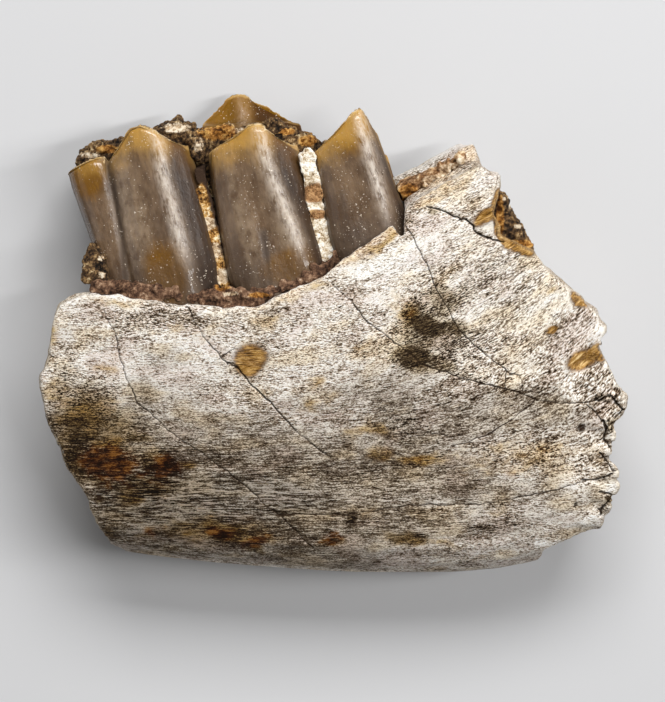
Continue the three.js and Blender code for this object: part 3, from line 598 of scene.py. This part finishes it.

# Sound bone, weathered bone with painted shade, and bleached bone, warmer and cooler by turns.
shade = (weathered + (drifts - 0.5) * 0.7 + (streaks - 0.5) * 0.5).step(0.05, 0.85)
colour = shade.pick(fibres.ramp(PALE_RUN), fibres.ramp(WORN_AND_SHADED_RUN))
# Beyond 1, the weathering and painted shade glaze the colour darker still.
colour = (weathered.step(1, 1.6) * 0.6).glaze(colour, tint(184, 187, 192))
bleached = (bleach + (clumps - 0.5) * 0.8).step(0.15, 0.9)
colour = (bleached * 0.9).pick(colour, fibres.ramp(BLEACHED_RUN))
colour = (bleach.step(0.9, 1.5) * 0.7).pick(colour, tint(246, 240, 228))
colour = (warmth.step(0.5, 0.68) * 0.45).glaze(colour, tint(248, 228, 186))
colour = (warmth.step(0.5, 0.34) * 0.45).glaze(colour, tint(226, 210, 206))

# Ochre, manganese and rust, which sink into the fibres.
yellowed = (start.read("ochre") + (clumps - 0.5) * 1.2).step(0.1, 1.1)
colour = yellowed.glaze(colour, tint(212, 184, 124))
colour = (stain.step(0.1, 0.9) * 0.7).glaze(colour, tint(196, 176, 136))
stained = (stain + (0.5 - fibres) * 3.0 + (clumps - 0.5) * 0.8).step(0.25, 1)
stained = stained * stain.step(0.02, 0.3)
colour = (stained * 0.92).pick(colour, fibres.ramp(STAINED_RUN))
colour = (stain.step(0.85, 1.4) * 0.7).glaze(colour, tint(120, 106, 92))
rusty = (start.read("rust") + (0.5 - fibres) * 1.8 + (clumps - 0.5) * 1).step(0.25, 1.1)
colour = (rusty * 0.95).pick(colour, (fibres * 0.5 + clumps * 0.5).ramp(RUSTY_RUN))

# Rubbed edges, chips, the inner bone, the breaks and the cracks.
colour = (start.read("edge").step(0.4, 1.4) * 0.6).pick(colour, tint(250, 243, 228))
ringed = chip * 0.55 + (lines - 0.5) * 1.5 + (flecks - 0.5) * 0.8 + (clumps - 0.5) * 0.9
chipped = (chip + (fibres - 0.5) * 1.4).step(0.15, 0.85)
colour = (chipped * 0.95).pick(colour, ringed.ramp(CHIP_RUN))
tanned = (start.read("tan") + (streaks - 0.5) * 1.6).step(0.15, 0.9)
colour = (tanned * 0.8).pick(colour, fibres.ramp(TAN_RUN))
colour = (start.read("broken") * 0.5).pick(colour, specks.ramp(TORN_RUN))
colour = (start.read("crack").step(0.1, 0.8) * 0.92).pick(colour, tint(40, 26, 15))
set_shader(shader, Base_Color=colour, Roughness=0.9 - fibres * 0.3, Specular_IOR_Level=0.1,
           Normal=bumped(start, fibres, 0.1))
bone.data.materials.append(bone_finish)
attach(bone, "root")
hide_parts("jaw_bone")

# ---------------------------------------------------------------- spongy cores
# The spongy inside of the jaw, seen where it broke: a web of thin struts whose holes are packed
# with dark silt. It stands a little back from the hard wall in front and proud of it behind.

CORE_VOXEL = 0.17            # mm

core_finish, shader, start = new_finish("spongy_bone")
place = start.place()
cells = start.node("TexVoronoi", {"Vector": place.times(0.8, 1.5, 1.5), "Scale": 1.0},
                   feature="DISTANCE_TO_EDGE")
crumbs = place.times(4).noise(3, 0.6)
web = (cells + (crumbs - 0.5) * 0.12).step(0.04, 0.16)
silt = crumbs.step(0.4, 0.65).pick(tint(62, 44, 30), tint(122, 92, 62))
struts = crumbs.pick(tint(150, 130, 102), tint(226, 212, 186))
set_shader(shader, Base_Color=web.pick(struts, silt), Roughness=0.75 + crumbs * 0.2,
           Normal=bumped(start, crumbs - web * 0.8, 0.18))


def webbed(points, size, seed):
    """0 on the walls of a web of cells and 1 in their middles."""
    place = points / size
    home = np.floor(place)
    nearest = np.full((2, len(points)), 1e9)
    for neighbour in itertools.product((-1, 0, 1), repeat=3):
        cell = home + neighbour
        jitter = np.stack([cloud(cell * 7.77 + 0.37, 1, seed + axis) for axis in range(3)], axis=1)
        away = np.linalg.norm(cell + 0.5 + 0.42 * jitter - place, axis=1)
        nearest[1] = np.minimum(nearest[1], np.maximum(nearest[0], away))
        nearest[0] = np.minimum(nearest[0], away)
    return step(0, 0.5, nearest[1] - nearest[0])


for node in ("core_front", "core_rear"):
    core = fine_skin([node], node.replace("core", "spongy_core"), CORE_VOXEL, 2)
    points, facing = points_of(core)
    holes = webbed(points * [0.6, 1, 1], 1.1, 3)
    lift = 0.14 + 0.16 * clouds(points, 1.6, 9) - 0.5 * holes + 0.05 * cloud(points, 0.35, 12)
    move_points(core, points + facing * lift[:, None])
    core.data.materials.append(core_finish)
    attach(core, "root")
    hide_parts(node)

# ---------------------------------------------------------------- tooth crown
# The last lower molar. Three brown, translucent, satin enamel columns and a narrow front shoulder
# stand on the cheek side, each with a rib behind its middle; three flatter, more golden cusps
# stand behind them on the tongue side. All are worn to a bevel along the crest.

# Each piece of crown: the imported solids it is worked up from, the foot and head of its axis, its
# rib with its painted highlight, its grooves (width, depth, strength of painted shade and line), the
# golden patches and the patches of painted sheen on it, how much lower the crest is worn at each
# x, and how much fuller the flanks are in front and behind.
CROWN = {
    "enamel_front_lobe": {
        "nodes": ["tooth_shoulder", "tooth_lobe_front"], "foot": (-11.55, 2.04), "head": (-14.65, 16.74),
        "rib": [(-14.2, 17.5), (-13.2, 15.4), (-12.9, 13.1), (-12.2, 10.6), (-11.6, 8.1), (-10.6, 4)],
        "grooves": [
            (0.75, -0.26, 0, [(-17.3, 13.6), (-16.85, 12.1), (-16.4, 10.1), (-15.7, 7.1), (-15, 4.4)]),
            (0.30, 0, 0.85, [(-17.1, 14.2), (-16.6, 12.1), (-16.25, 10.1), (-15.95, 8.2), (-15.6, 4.6)]),
            (0.16, 0.05, 0.5, [(-12.1, 7), (-11.75, 5.6), (-11.6, 4.2)]),
        ],
        "gold": [(-12.7, 5.5, 4.6, 3, 100), (-18.6, 12.6, 2.6, 3)],
        "pale": [(-15.1, 9, 9, 2.4, 103), (-13.9, 6.2, 3, 1.4, 100)],
        "trim": [(-17.3, 0), (-17, 0.5), (-16.2, 0.3), (-15.2, 0)], "fuller": (0, 0.45),
    },
    "enamel_middle_lobe": {
        "nodes": ["tooth_lobe_middle"], "foot": (-3.65, 2.34), "head": (-6.45, 16.64),
        "rib": [(-5.9, 17.5), (-5.6, 16.1), (-5.2, 14.1), (-4.4, 12.1), (-3.8, 10.6), (-3.2, 9.1),
                (-1.9, 5.5)],
        "grooves": [
            (0.28, 0.02, 0.75, [(-5.3, 8.6), (-5.2, 7.9), (-5, 6.6), (-4.7, 4.8)]),
            (0.12, 0.03, 0.4, [(-3.7, 7), (-3.3, 5.5)]),
            (0.12, 0.03, 0.4, [(-2.8, 7.2), (-2.5, 5.9)]),
        ],
        "gold": [(-3.2, 6.2, 4.4, 2.2, 14)],
        "pale": [(-7, 9.5, 9, 0.8, 103), (-6.2, 8.2, 4, 0.8, 100), (-3.3, 9, 6, 2, 118)],
        "fuller": (0.5, 0.3),
    },
    "enamel_rear_lobe": {
        "nodes": ["tooth_lobe_rear"], "foot": (3.7, 5.34), "head": (0.4, 17.84),
        "rib": [(1.5, 18.2), (1.9, 17.1), (2.7, 14.1), (3.6, 11.1), (4.2, 8.8)],
        "grooves": [(0.3, 0, 0.35, [(0.6, 11.5), (1.2, 8), (1.5, 6.6)])],
        "gold": [(1.4, 16.5, 2.6, 4, -20)],
        "trim": [(-1.4, 0.7), (0.8, 0.45), (2, 0.3), (4, 0.5)], "fuller": (0.5, 0),
    },
    "enamel_inner_middle": {
        "nodes": ["tooth_inner_middle"], "foot": (-4.25, 2.34), "head": (-6.85, 18.94),
        "rib": [(-7.2, 18.8), (-6.4, 12)], "gold": [(-7, 17, 9, 5)],
        "trim": [(-10.3, -0.7), (-9.2, -0.6), (-8.2, -0.45), (-7.4, -0.05), (-6.8, 0.26), (-6, 0.1),
                 (-5, -0.1)],
    },
    "enamel_inner_front": {
        "nodes": ["tooth_inner_front"], "foot": (-12.25, 2.14), "head": (-14.05, 15.24),
        "rib": [(-13.6, 15.4), (-12.8, 9)], "gold": [(-13, 14, 7, 3)],
    },
    "enamel_inner_rear": {
        "nodes": ["tooth_inner_rear"], "foot": (2.95, 5.34), "head": (1.15, 14.64),
        "rib": [(1.5, 14.6), (2.2, 9)], "gold": [(1.5, 13.4, 6, 2.6)],
    },
}
ENAMEL_VOXEL = 0.125         # mm
ENAMEL_SWELL = 0.12          # mm that a column stands out before it is worn
SHOULDER_SWELL = 0.3         # mm for the front lobe, to close the gap to its shoulder
CREST_BEVEL = 0.55           # mm of worn enamel below each crest
CREST_BIN = 0.25             # mm across, each with one top of the crest
SHARP_EDGE = 0.02            # mm that a sharp edge stands out of its neighbours


def enamel(name, low, high, gold, tip, coat):
    """Satin enamel: mottled along the crown, golden where it is thin, dusty and finely wrinkled."""
    material, shader, start = new_finish(name)
    lie = start.read("crown", 1)
    mist = lie.times(0.7, 0.3, 0.7).noise(3, 0.6)
    crumple = lie.times(2, 1.3, 2).noise(3, 0.62)
    wrinkle = lie.times(3.4, 4.6, 3.4).noise(4, 0.7)
    scratch = lie.times(6, 1.3, 6).noise(2, 0.6)
    dust = lie.times(7).noise(1, 0.5)
    dusty = lie.times(0.6).noise(1, 0.5)
    dark = start.read("dark")
    flank = start.read("flank")
    colour = (mist * 0.65 + crumple * 0.2 + scratch * 0.15).step(0.34, 0.66).pick(low, high)
    # Patches of painted sheen, lighter than the enamel around them.
    lighter = start.read("light") * (crumple * 0.7 + mist * 0.3).step(0.25, 0.65)
    colour = (lighter * 0.4).pick(colour, tint(166, 146, 122))
    golden = start.read("gold") * 1.3 + (mist - 0.5) * 0.9 + (scratch - 0.5) * 0.4
    streaky = (scratch * 0.7 + mist * 0.3).step(0.35, 0.65)
    streaky = streaky.pick(tint(140, 116, 104), tint(255, 255, 255))
    colour = golden.step(0.1, 1.05).pick(colour, streaky.glaze(gold, streaky))
    amber = start.read("amber") + (mist - 0.5) * 0.5 + (scratch - 0.5) * 0.3
    colour = amber.step(0.05, 1.05).pick(colour, tip)
    # Painted shade on the flank behind each rib.
    colour = flank.glaze(colour, tint(146, 132, 116))
    # A painted highlight along each rib.
    bright = start.read("rib") * (scratch * 0.6 + crumple * 0.4).step(0.3, 0.62)
    colour = (bright * (coat + 0.1)).pick(colour, tint(216, 204, 190))
    # Painted shade in the grooves, on steep sides and at the foot.
    colour = (dark * 0.85).pick(colour, tint(38, 25, 14))
    colour = (start.read("crest").step(0.5, 0.95) * 0.5).pick(colour, tint(206, 168, 106))
    # A painted highlight on sharp edges.
    colour = (start.read("edge").step(0.5, 1.4) * 0.6).pick(colour, tint(240, 212, 164))
    speckled = (dust + (dusty - 0.5) * 0.25).step(0.71, 0.76) * 0.7
    colour = speckled.pick(colour, tint(222, 208, 190))
    clean = (1.0 - dark).step(0.3, 1) * (1.0 - flank * 0.8)
    relief = crumple * 0.5 + wrinkle * 0.25 + scratch * 0.15 + dust * 0.1
    set_shader(
        shader, Base_Color=colour, Normal=bumped(start, relief, 0.11),
        Roughness=0.08 + crumple * 0.26 + dark * 0.75 + flank * 0.25 + (0.5 - coat) * 0.4,
        Coat_Weight=(mist + 0.4) * coat * clean, Coat_Roughness=0.07,
        Specular_IOR_Level=min(0.5, coat + 0.1), Subsurface_Weight=0.08,
        Subsurface_Radius=(1, 0.6, 0.25), Subsurface_Scale=1.0 * MM)
    return material


def crown_of(points, foot, head):
    """Where each point lies across, along and out of a column, in mm."""
    foot = np.array(foot)
    axis = (np.array(head) - foot) / np.linalg.norm(np.array(head) - foot)
    offset = points[:, :2] - foot
    return np.stack([offset @ [axis[1], -axis[0]], offset @ axis, points[:, 2]], axis=1)


def below_crest(crown):
    """How far each point lies below the crest above it, in mm along the crown."""
    across, up, _ = crown.T
    place = (across - across.min()) / CREST_BIN
    column = np.round(place).astype(int)
    tops = np.full(column.max() + 1, -1e9)
    np.maximum.at(tops, column, up)
    ends = np.concatenate([tops[:1], tops, tops[-1:]])
    tops = (ends[:-2] + 2 * ends[1:-1] + ends[2:]) / 4
    return np.interp(place, np.arange(len(tops)), tops) - up


def dress_tooth(name, finish, slot, smoothing, nodes, foot, head, rib, gold, grooves=(),
                pale=((0, 0, 1, 1),), trim=((0, 0), (1, 0)), fuller=(0, 0)):
    """Works up a piece of crown: rib, grooves, worn crest and the values that its enamel reads."""
    swell = SHOULDER_SWELL if len(nodes) > 1 else ENAMEL_SWELL
    tooth = fine_skin(nodes, name, ENAMEL_VOXEL, smoothing, swell)
    points, facing = points_of(tooth)
    crown = crown_of(points, foot, head)
    across, up, _ = crown.T
    outer = step(0, 0.5, facing[:, 2])
    aside = from_line(points, rib)
    near_rib = np.exp(-(aside / 0.8) ** 2)
    lift = 0.06 * clouds(crown * [1, 0.35, 1], 1.8, 70, 3) - 0.8 * swell
    lift += outer * (0.26 * near_rib - 0.12 * np.exp(-((aside - 1.9) / 0.9) ** 2))
    # Each groove is cut in, and painted shade is laid along it.
    dark = np.zeros(len(points))
    for width, depth, darkness, line in grooves:
        cut = np.exp(-(from_line(points, line) / width) ** 2) * outer
        lift -= depth * cut
        dark = np.maximum(dark, darkness * cut)
    points = points + facing * lift[:, None]
    x, y, z = points.T
    share = across / np.where(across < 0, -across.min(), across.max())
    swelling = np.abs(share) ** 3 * np.where(share < 0, -fuller[0], fuller[1]) * step(0.5, 4, up)
    flank = (np.array(head) - foot) / math.dist(head, foot)
    x += swelling * flank[1]
    y -= swelling * flank[0]
    z += np.abs(swelling) * outer
    y -= np.interp(x, *zip(*trim)) * step(3.5, 0, below_crest(crown))
    worn = step(CREST_BEVEL, 0, below_crest(crown) + 0.08 * clouds(crown, 0.8, 75, 2))
    z -= 0.5 * CREST_BEVEL * worn * outer
    move_points(tooth, kept_inside(points))
    points, facing = points_of(tooth)
    x, y, z = points.T
    from_tip = below_crest(crown) + 0.3 * aside + 0.7 * clouds(crown, 1.2, 77, 2)
    behind_rib = x - np.interp(y, *zip(*[place[::-1] for place in reversed(rib)]))
    # Steep sides of the enamel get painted shade.
    steep_side_shade = step(0.62, 0.1, facing[:, 2]) * step(4, 7, z)
    along = step(-0.3, 1, below_crest(crown)) * step(2.8, 6.5, up)
    note(
        tooth, crown=crown, crest=worn,
        gold=patches(points, gold, 0.8),
        # Patches of painted sheen.
        light=patches(points, pale, 0.8) * outer,
        amber=step(5, 0.2, from_tip) ** 1.5,
        # Painted shade in the grooves, on steep sides and at the foot.
        dark=np.max([dark, 0.6 * steep_side_shade, 0.5 * step(6, 3, up)], axis=0),
        # Where a highlight is painted along the rib.
        rib=np.exp(-(from_line(points, rib) / 0.5) ** 2) * outer * along,
        # Painted shade on the flank behind the rib.
        flank=step(0.2, 1.2, behind_rib) * outer,
        edge=hollows(tooth, points, facing) / SHARP_EDGE)
    tooth.data.materials.append(finish)
    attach(tooth, "root")
    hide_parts(*nodes)


cheek_enamel = enamel("brown_enamel", tint(80, 60, 42), tint(116, 94, 72),
                      tint(116, 79, 18), tint(174, 132, 60), 0.5)
inner_enamel = enamel("golden_enamel", tint(38, 25, 6), tint(64, 44, 10),
                      tint(82, 55, 6), tint(124, 86, 22), 0.06)
for name, piece in CROWN.items():
    if "inner" in name:
        dress_tooth(name, inner_enamel, "inner_enamel", 12, **piece)
    else:
        dress_tooth(name, cheek_enamel, "enamel", 4, **piece)

# ---------------------------------------------------------------- rock matrix
# Sediment that was never cleaned off: a dark red-brown crust round the feet of the columns, a
# crumbly fill in the furrow and the hollow behind the last lobe, and paler strips in the slots,
# with painted shade along their sides.

ROCK_VOXEL = 0.115           # mm
TABLE_GAP = 0.3              # mm that the rock stays clear of the table

BROWN_RUN = [(0.36, 16, 11, 7), (0.45, 54, 39, 25), (0.53, 94, 70, 45), (0.61, 140, 112, 74),
             (0.72, 206, 188, 152)]
RUST_RUN = [(0.32, 22, 13, 8), (0.44, 76, 53, 39), (0.54, 116, 86, 65), (0.64, 158, 128, 102),
            (0.74, 220, 202, 176)]
SAND_RUN = [(0.36, 62, 38, 20), (0.46, 124, 88, 56), (0.55, 172, 136, 98), (0.66, 226, 204, 168)]
CREAM_RUN = [(0.34, 96, 72, 48), (0.42, 186, 162, 128), (0.5, 236, 224, 202), (0.6, 254, 252, 246)]
GOLD_RUN = [(0.38, 50, 32, 16), (0.46, 140, 94, 40), (0.53, 206, 160, 92), (0.62, 242, 226, 190)]
LIME_RUN = [(0.36, 104, 76, 52), (0.48, 194, 168, 134), (0.6, 240, 228, 206)]
OCHRE_RUN = [(0.38, 68, 38, 10), (0.5, 146, 94, 34), (0.64, 208, 160, 88)]


def rock(name, run, aside=(0, 0, 0, 1)):
    """Crumbly rock: gritty grains in a run of colours, with painted shade in the pits and beside a
    strip, and a painted highlight on sharp edges.
    """
    material, shader, start = new_finish(name)
    place = start.place()
    crumbs = place.times(2.4).noise(4, 0.68)
    lumps = place.times(0.7).noise()
    fines = place.times(9).noise(2, 0.6)
    level = crumbs * 0.75 + lumps * 0.25 + (fines - 0.5) * 0.25
    # Painted shade in hollows and a painted highlight on sharp edges.
    level = level + start.read("edge").step(-1, 1.5) * 0.1 - 0.05
    bright = (start.read("pale") + (crumbs - 0.5) * 2).step(0.3, 0.8)
    colour = (bright * 0.85).pick(level.ramp(run), level.ramp(LIME_RUN))
    fiery = (start.read("orange") + (crumbs - 0.5) * 1.4).step(0.25, 0.75)
    colour = (fiery * 0.9).pick(colour, level.ramp(OCHRE_RUN))
    # Painted shade along the sides of a strip.
    colour = start.read("aside").pick(colour, aside)
    set_shader(shader, Base_Color=colour, Roughness=0.75 + fines * 0.25, Specular_IOR_Level=0.2,
               Normal=bumped(start, crumbs * 0.6 + fines * 0.4, 0.25))
    return material


brown_rock = rock("brown_matrix", BROWN_RUN)
rust_rock = rock("rusty_matrix", RUST_RUN)
sand_rock = rock("sandy_matrix", SAND_RUN)
# The last colour of a strip's rock is the painted shade along its sides.
cream_rock = rock("cream_matrix", CREAM_RUN, tint(74, 52, 34))
gold_rock = rock("golden_matrix", GOLD_RUN, tint(56, 40, 28))


def pebble(x, y, z, radius):
    """One lump of a crust, added at its place."""
    bpy.ops.object.select_all(action="DESELECT")
    place = (x * MM, y * MM, z * MM)
    bpy.ops.mesh.primitive_ico_sphere_add(subdivisions=2, radius=radius * MM, location=place)
    return bpy.context.object


def dress_matrix(node, name, finish, swell, rough, lumps=(), pale=(), orange=(), sinking=0,
                 strip=None, half=0, level=0):
    """Works up a lump of rock: its added pebbles, its rough skin and the values its rock reads.

    Its rear end lies sinking mm lower. A strip is flat at a level, painted shade from half its width out.
    """
    lump = fine_skin([node], name, ROCK_VOXEL, 2, swell, [pebble(*each) for each in lumps])
    points, facing = points_of(lump)
    relief = clouds(points, 1.1, 80, 3) + 0.9 * clouds(points, 0.35, 85, 2)
    lift = rough * (relief - 0.12 * webbed(points, 0.55, 4))
    points = points + facing * lift[:, None]
    x, _, z = points.T
    z -= sinking * step(-1.2, 0.6, x) * step(9, 10.4, z)
    points = kept_inside(points, TABLE_GAP)
    if strip:
        points[:, 2] = np.minimum(points[:, 2], level + 0.12 * clouds(points, 0.9, 88, 2))
    move_points(lump, points)
    points, facing = points_of(lump)
    note(lump, edge=hollows(lump, points, facing) / SHARP_EDGE)
    if strip:
        # Painted shade along both sides of a strip, where it meets the lobes.
        away = from_line(points, strip) + 0.2 * clouds(points, 0.7, 90)
        note(lump, aside=step(half, half + 0.2, away))
    outward = step(-0.2, 0.4, facing[:, 2] + 0.3 * clouds(points, 0.8, 92))
    for kind, ovals in (("pale", pale), ("orange", orange)):
        if ovals:
            note(lump, **{kind: outward * patches(points, ovals, 0.5)})
    lump.data.materials.append(finish)
    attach(lump, "root")
    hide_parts(node)


dice = np.random.default_rng(5)


def pebbles_along(line, level, apart, scatter, smallest, largest):
    """Lumps strung along a line, each a little off it."""
    lumps = []
    for start_at, end_at in zip(line[:-1], line[1:]):
        run = np.array(end_at) - start_at
        for share in np.arange(0, 1, apart / math.dist(start_at, end_at)):
            place = np.array([*(start_at + share * run), level])
            place += dice.uniform(-scatter, scatter, 3)
            lumps.append((*place, dice.uniform(smallest, largest)))
    return lumps


# The crust's ridge along the feet of the columns, thickest at its front end.
CRUST = [(-18, 4.5), (-17, 4.5), (-15.3, 4.5), (-13.2, 4.1), (-10.5, 4), (-8, 4), (-6.5, 3.9),
         (-5, 4.3), (-3.8, 4.7), (-2.4, 5.2), (-1.2, 5.8)]
ridge = pebbles_along(CRUST, 10.72, 0.12, 0.36, 0.14, 0.4)
ridge += pebbles_along(CRUST[:5], 10.7, 0.3, 0.2, 0.3, 0.5)
dress_matrix("matrix_rim", "crust_at_tooth_feet", rust_rock, 0.05, 0.14, ridge,
             pale=[(-7.8, 4.1, 1.2, 0.3)],
             orange=[(-8.4, 4.7, 1.2, 0.8), (-5.6, 4, 1.6, 0.4)], sinking=1.5)

# The furrow's fill, heaped at the front, between the front cusps and behind the middle one.
heap = pebbles_along([(-19, 13.7), (-17.6, 14.5), (-16.6, 14.6)], 6.2, 0.2, 0.3, 0.16, 0.4)
heap += pebbles_along([(-13.2, 15.2), (-12.4, 15.6), (-11.5, 15.8), (-10.8, 15.2)],
                      6, 0.14, 0.4, 0.16, 0.42)
heap += pebbles_along([(-10.3, 14.8), (-9.4, 15.3), (-8.2, 15.6), (-7, 15.4)],
                      6.2, 0.12, 0.35, 0.16, 0.4)
heap += pebbles_along([(-5, 16.3), (-4, 15.9), (-3, 15.5), (-2, 15.1), (-1.2, 14.8)],
                      5.8, 0.12, 0.3, 0.14, 0.34)
heap += pebbles_along([(-10.4, 14.9), (-10.2, 14.2)], 8, 0.15, 0.2, 0.2, 0.4)
dress_matrix("matrix_valley", "fill_between_cusps", brown_rock, 0.25, 0.3, heap,
             pale=[(-12, 16.2, 2, 0.7), (-10.2, 15, 0.7, 0.9), (-18.6, 14.1, 1.6, 0.4),
                   (-7.4, 16, 0.9, 0.4)],
             orange=[(-8.8, 15.9, 3, 1.2), (-2, 15.2, 1.4, 0.8), (-3.6, 15.9, 1.2, 0.5),
                     (-17.2, 14.6, 1.6, 0.6)])

# The pebbly post at the front end of the crust.
post = [(-18.2, 5, 9.6, 0.4), (-17.9, 6.2, 9.4, 0.35), (-17.4, 5.5, 10.2, 0.45),
        (-17.4, 6.7, 9.8, 0.3), (-17.8, 7.3, 9.2, 0.3), (-16.9, 5, 10.4, 0.4)]
dress_matrix("matrix_front_post", "post_at_front", brown_rock, 0, 0.2, post,
             pale=[(-17.4, 5.5, 0.6, 0.5), (-17.5, 6.7, 0.35, 0.4)])

# Strips in the slots between the lobes, with painted shade along their sides.
slot_line = [(-9.95, 11.8), (-9.6, 10), (-9.1, 8), (-8.7, 6), (-8.3, 4.6)]
dress_matrix("matrix_strip_front", "strip_front", gold_rock, 0.1, 0.14,
             pebbles_along(slot_line, 9.2, 0.15, 0.12, 0.26, 0.46),
             pale=[(-9.4, 9.2, 1.2, 1), (-8.9, 7.2, 1.2, 1.2), (-8.4, 5.2, 1.2, 1.2)],
             strip=slot_line, half=0.3, level=9.3)
slot_line = [(-2, 14.4), (-1.6, 12.6), (-1.35, 11), (-1.2, 9.5), (-0.2, 6.2)]
dress_matrix("matrix_strip_rear", "strip_rear", cream_rock, 0.1, 0.14,
             pebbles_along(slot_line, 9.2, 0.12, 0.1, 0.32, 0.52),
             orange=[(-1.4, 11.5, 2, 1.5), (-1.3, 9.9, 2, 0.7)],
             strip=slot_line, half=0.62, level=9.35)

# The fill in the chipped rear corner, and the one in the hollow behind the last lobe.
dress_matrix("matrix_rear_edge", "fill_at_rear_edge", brown_rock, -0.3, 0.32,
             pale=[(13.3, 10.2, 0.3, 0.3), (13.9, 8.9, 0.6, 0.4), (12.8, 11, 0.3, 0.3)],
             orange=[(12.5, 9.6, 0.6, 3.4), (14.2, 7.6, 2.4, 0.6)])
trough = [(5.2, 11.4), (7, 12.5), (8.8, 13.5), (9.8, 14.1)]
dress_matrix("matrix_trough", "fill_behind_tooth", sand_rock, 0.1, 0.16,
             pebbles_along(trough, 8.3, 0.1, 0.42, 0.08, 0.28),
             pale=[(8.7, 13.1, 1.6, 1), (7.6, 12.4, 2, 0.8), (9.7, 13.8, 1, 0.8)],
             orange=[(5.6, 11.4, 1.6, 1.6)])

# ---------------------------------------------------------------- table, light and camera
# A plain pale table under soft studio light: a broad lamp high behind the teeth, a narrow one on
# the right, a weak one on the left, and a camera that looks down on the cheek face.

bpy.ops.object.select_all(action="DESELECT")
bpy.ops.mesh.primitive_plane_add(size=4, location=(0, 0, 0))
table = bpy.context.object
table.name = "table"
table_finish, shader, start = new_finish("pale_table")
set_shader(shader, Base_Color=tint(196, 196, 197), Roughness=0.8)
table.data.materials.append(table_finish)


def add_lamp(name, place, size, watts):
    """A soft lamp at a place, wide and tall in mm too, turned to the piece."""
    lamp = bpy.data.objects.new(name, bpy.data.lights.new(name, "AREA"))
    lamp.data.shape = "RECTANGLE"
    lamp.data.size = size[0] * MM
    lamp.data.size_y = size[1] * MM
    lamp.data.energy = watts
    lamp.location = [value * MM for value in place]
    lamp.rotation_euler = (-lamp.location).to_track_quat("-Z", "Y").to_euler()
    bpy.context.scene.collection.objects.link(lamp)


add_lamp("key_lamp", (40, 330, 330), (340, 180), 2.4)
add_lamp("side_lamp", (230, 60, 330), (24, 300), 0.9)
add_lamp("fill_lamp", (-320, -60, 260), (260, 260), 0.11)

world = bpy.data.worlds.new("studio")
world.use_nodes = True
set_shader(world.node_tree.nodes["Background"], Color=tint(255, 255, 255), Strength=0.14)
scene = bpy.context.scene
scene.world = world
scene.view_settings.view_transform = "Standard"

CAMERA_TILT = math.radians(8)
CAMERA_AWAY = 300            # mm
AIM = (-0.125, -0.955, 6)    # mm, the middle of the view
camera = bpy.data.objects.new("camera", bpy.data.cameras.new("camera"))
camera.location = (AIM[0] * MM, (AIM[1] + CAMERA_AWAY * math.sin(CAMERA_TILT)) * MM,
                   (AIM[2] + CAMERA_AWAY * math.cos(CAMERA_TILT)) * MM)
camera.rotation_euler = (-CAMERA_TILT, 0, 0)
camera.data.sensor_fit = "HORIZONTAL"
camera.data.sensor_width = 36.0
camera.data.lens = 212.4
camera.data.clip_start = 0.01
scene.collection.objects.link(camera)
scene.camera = camera
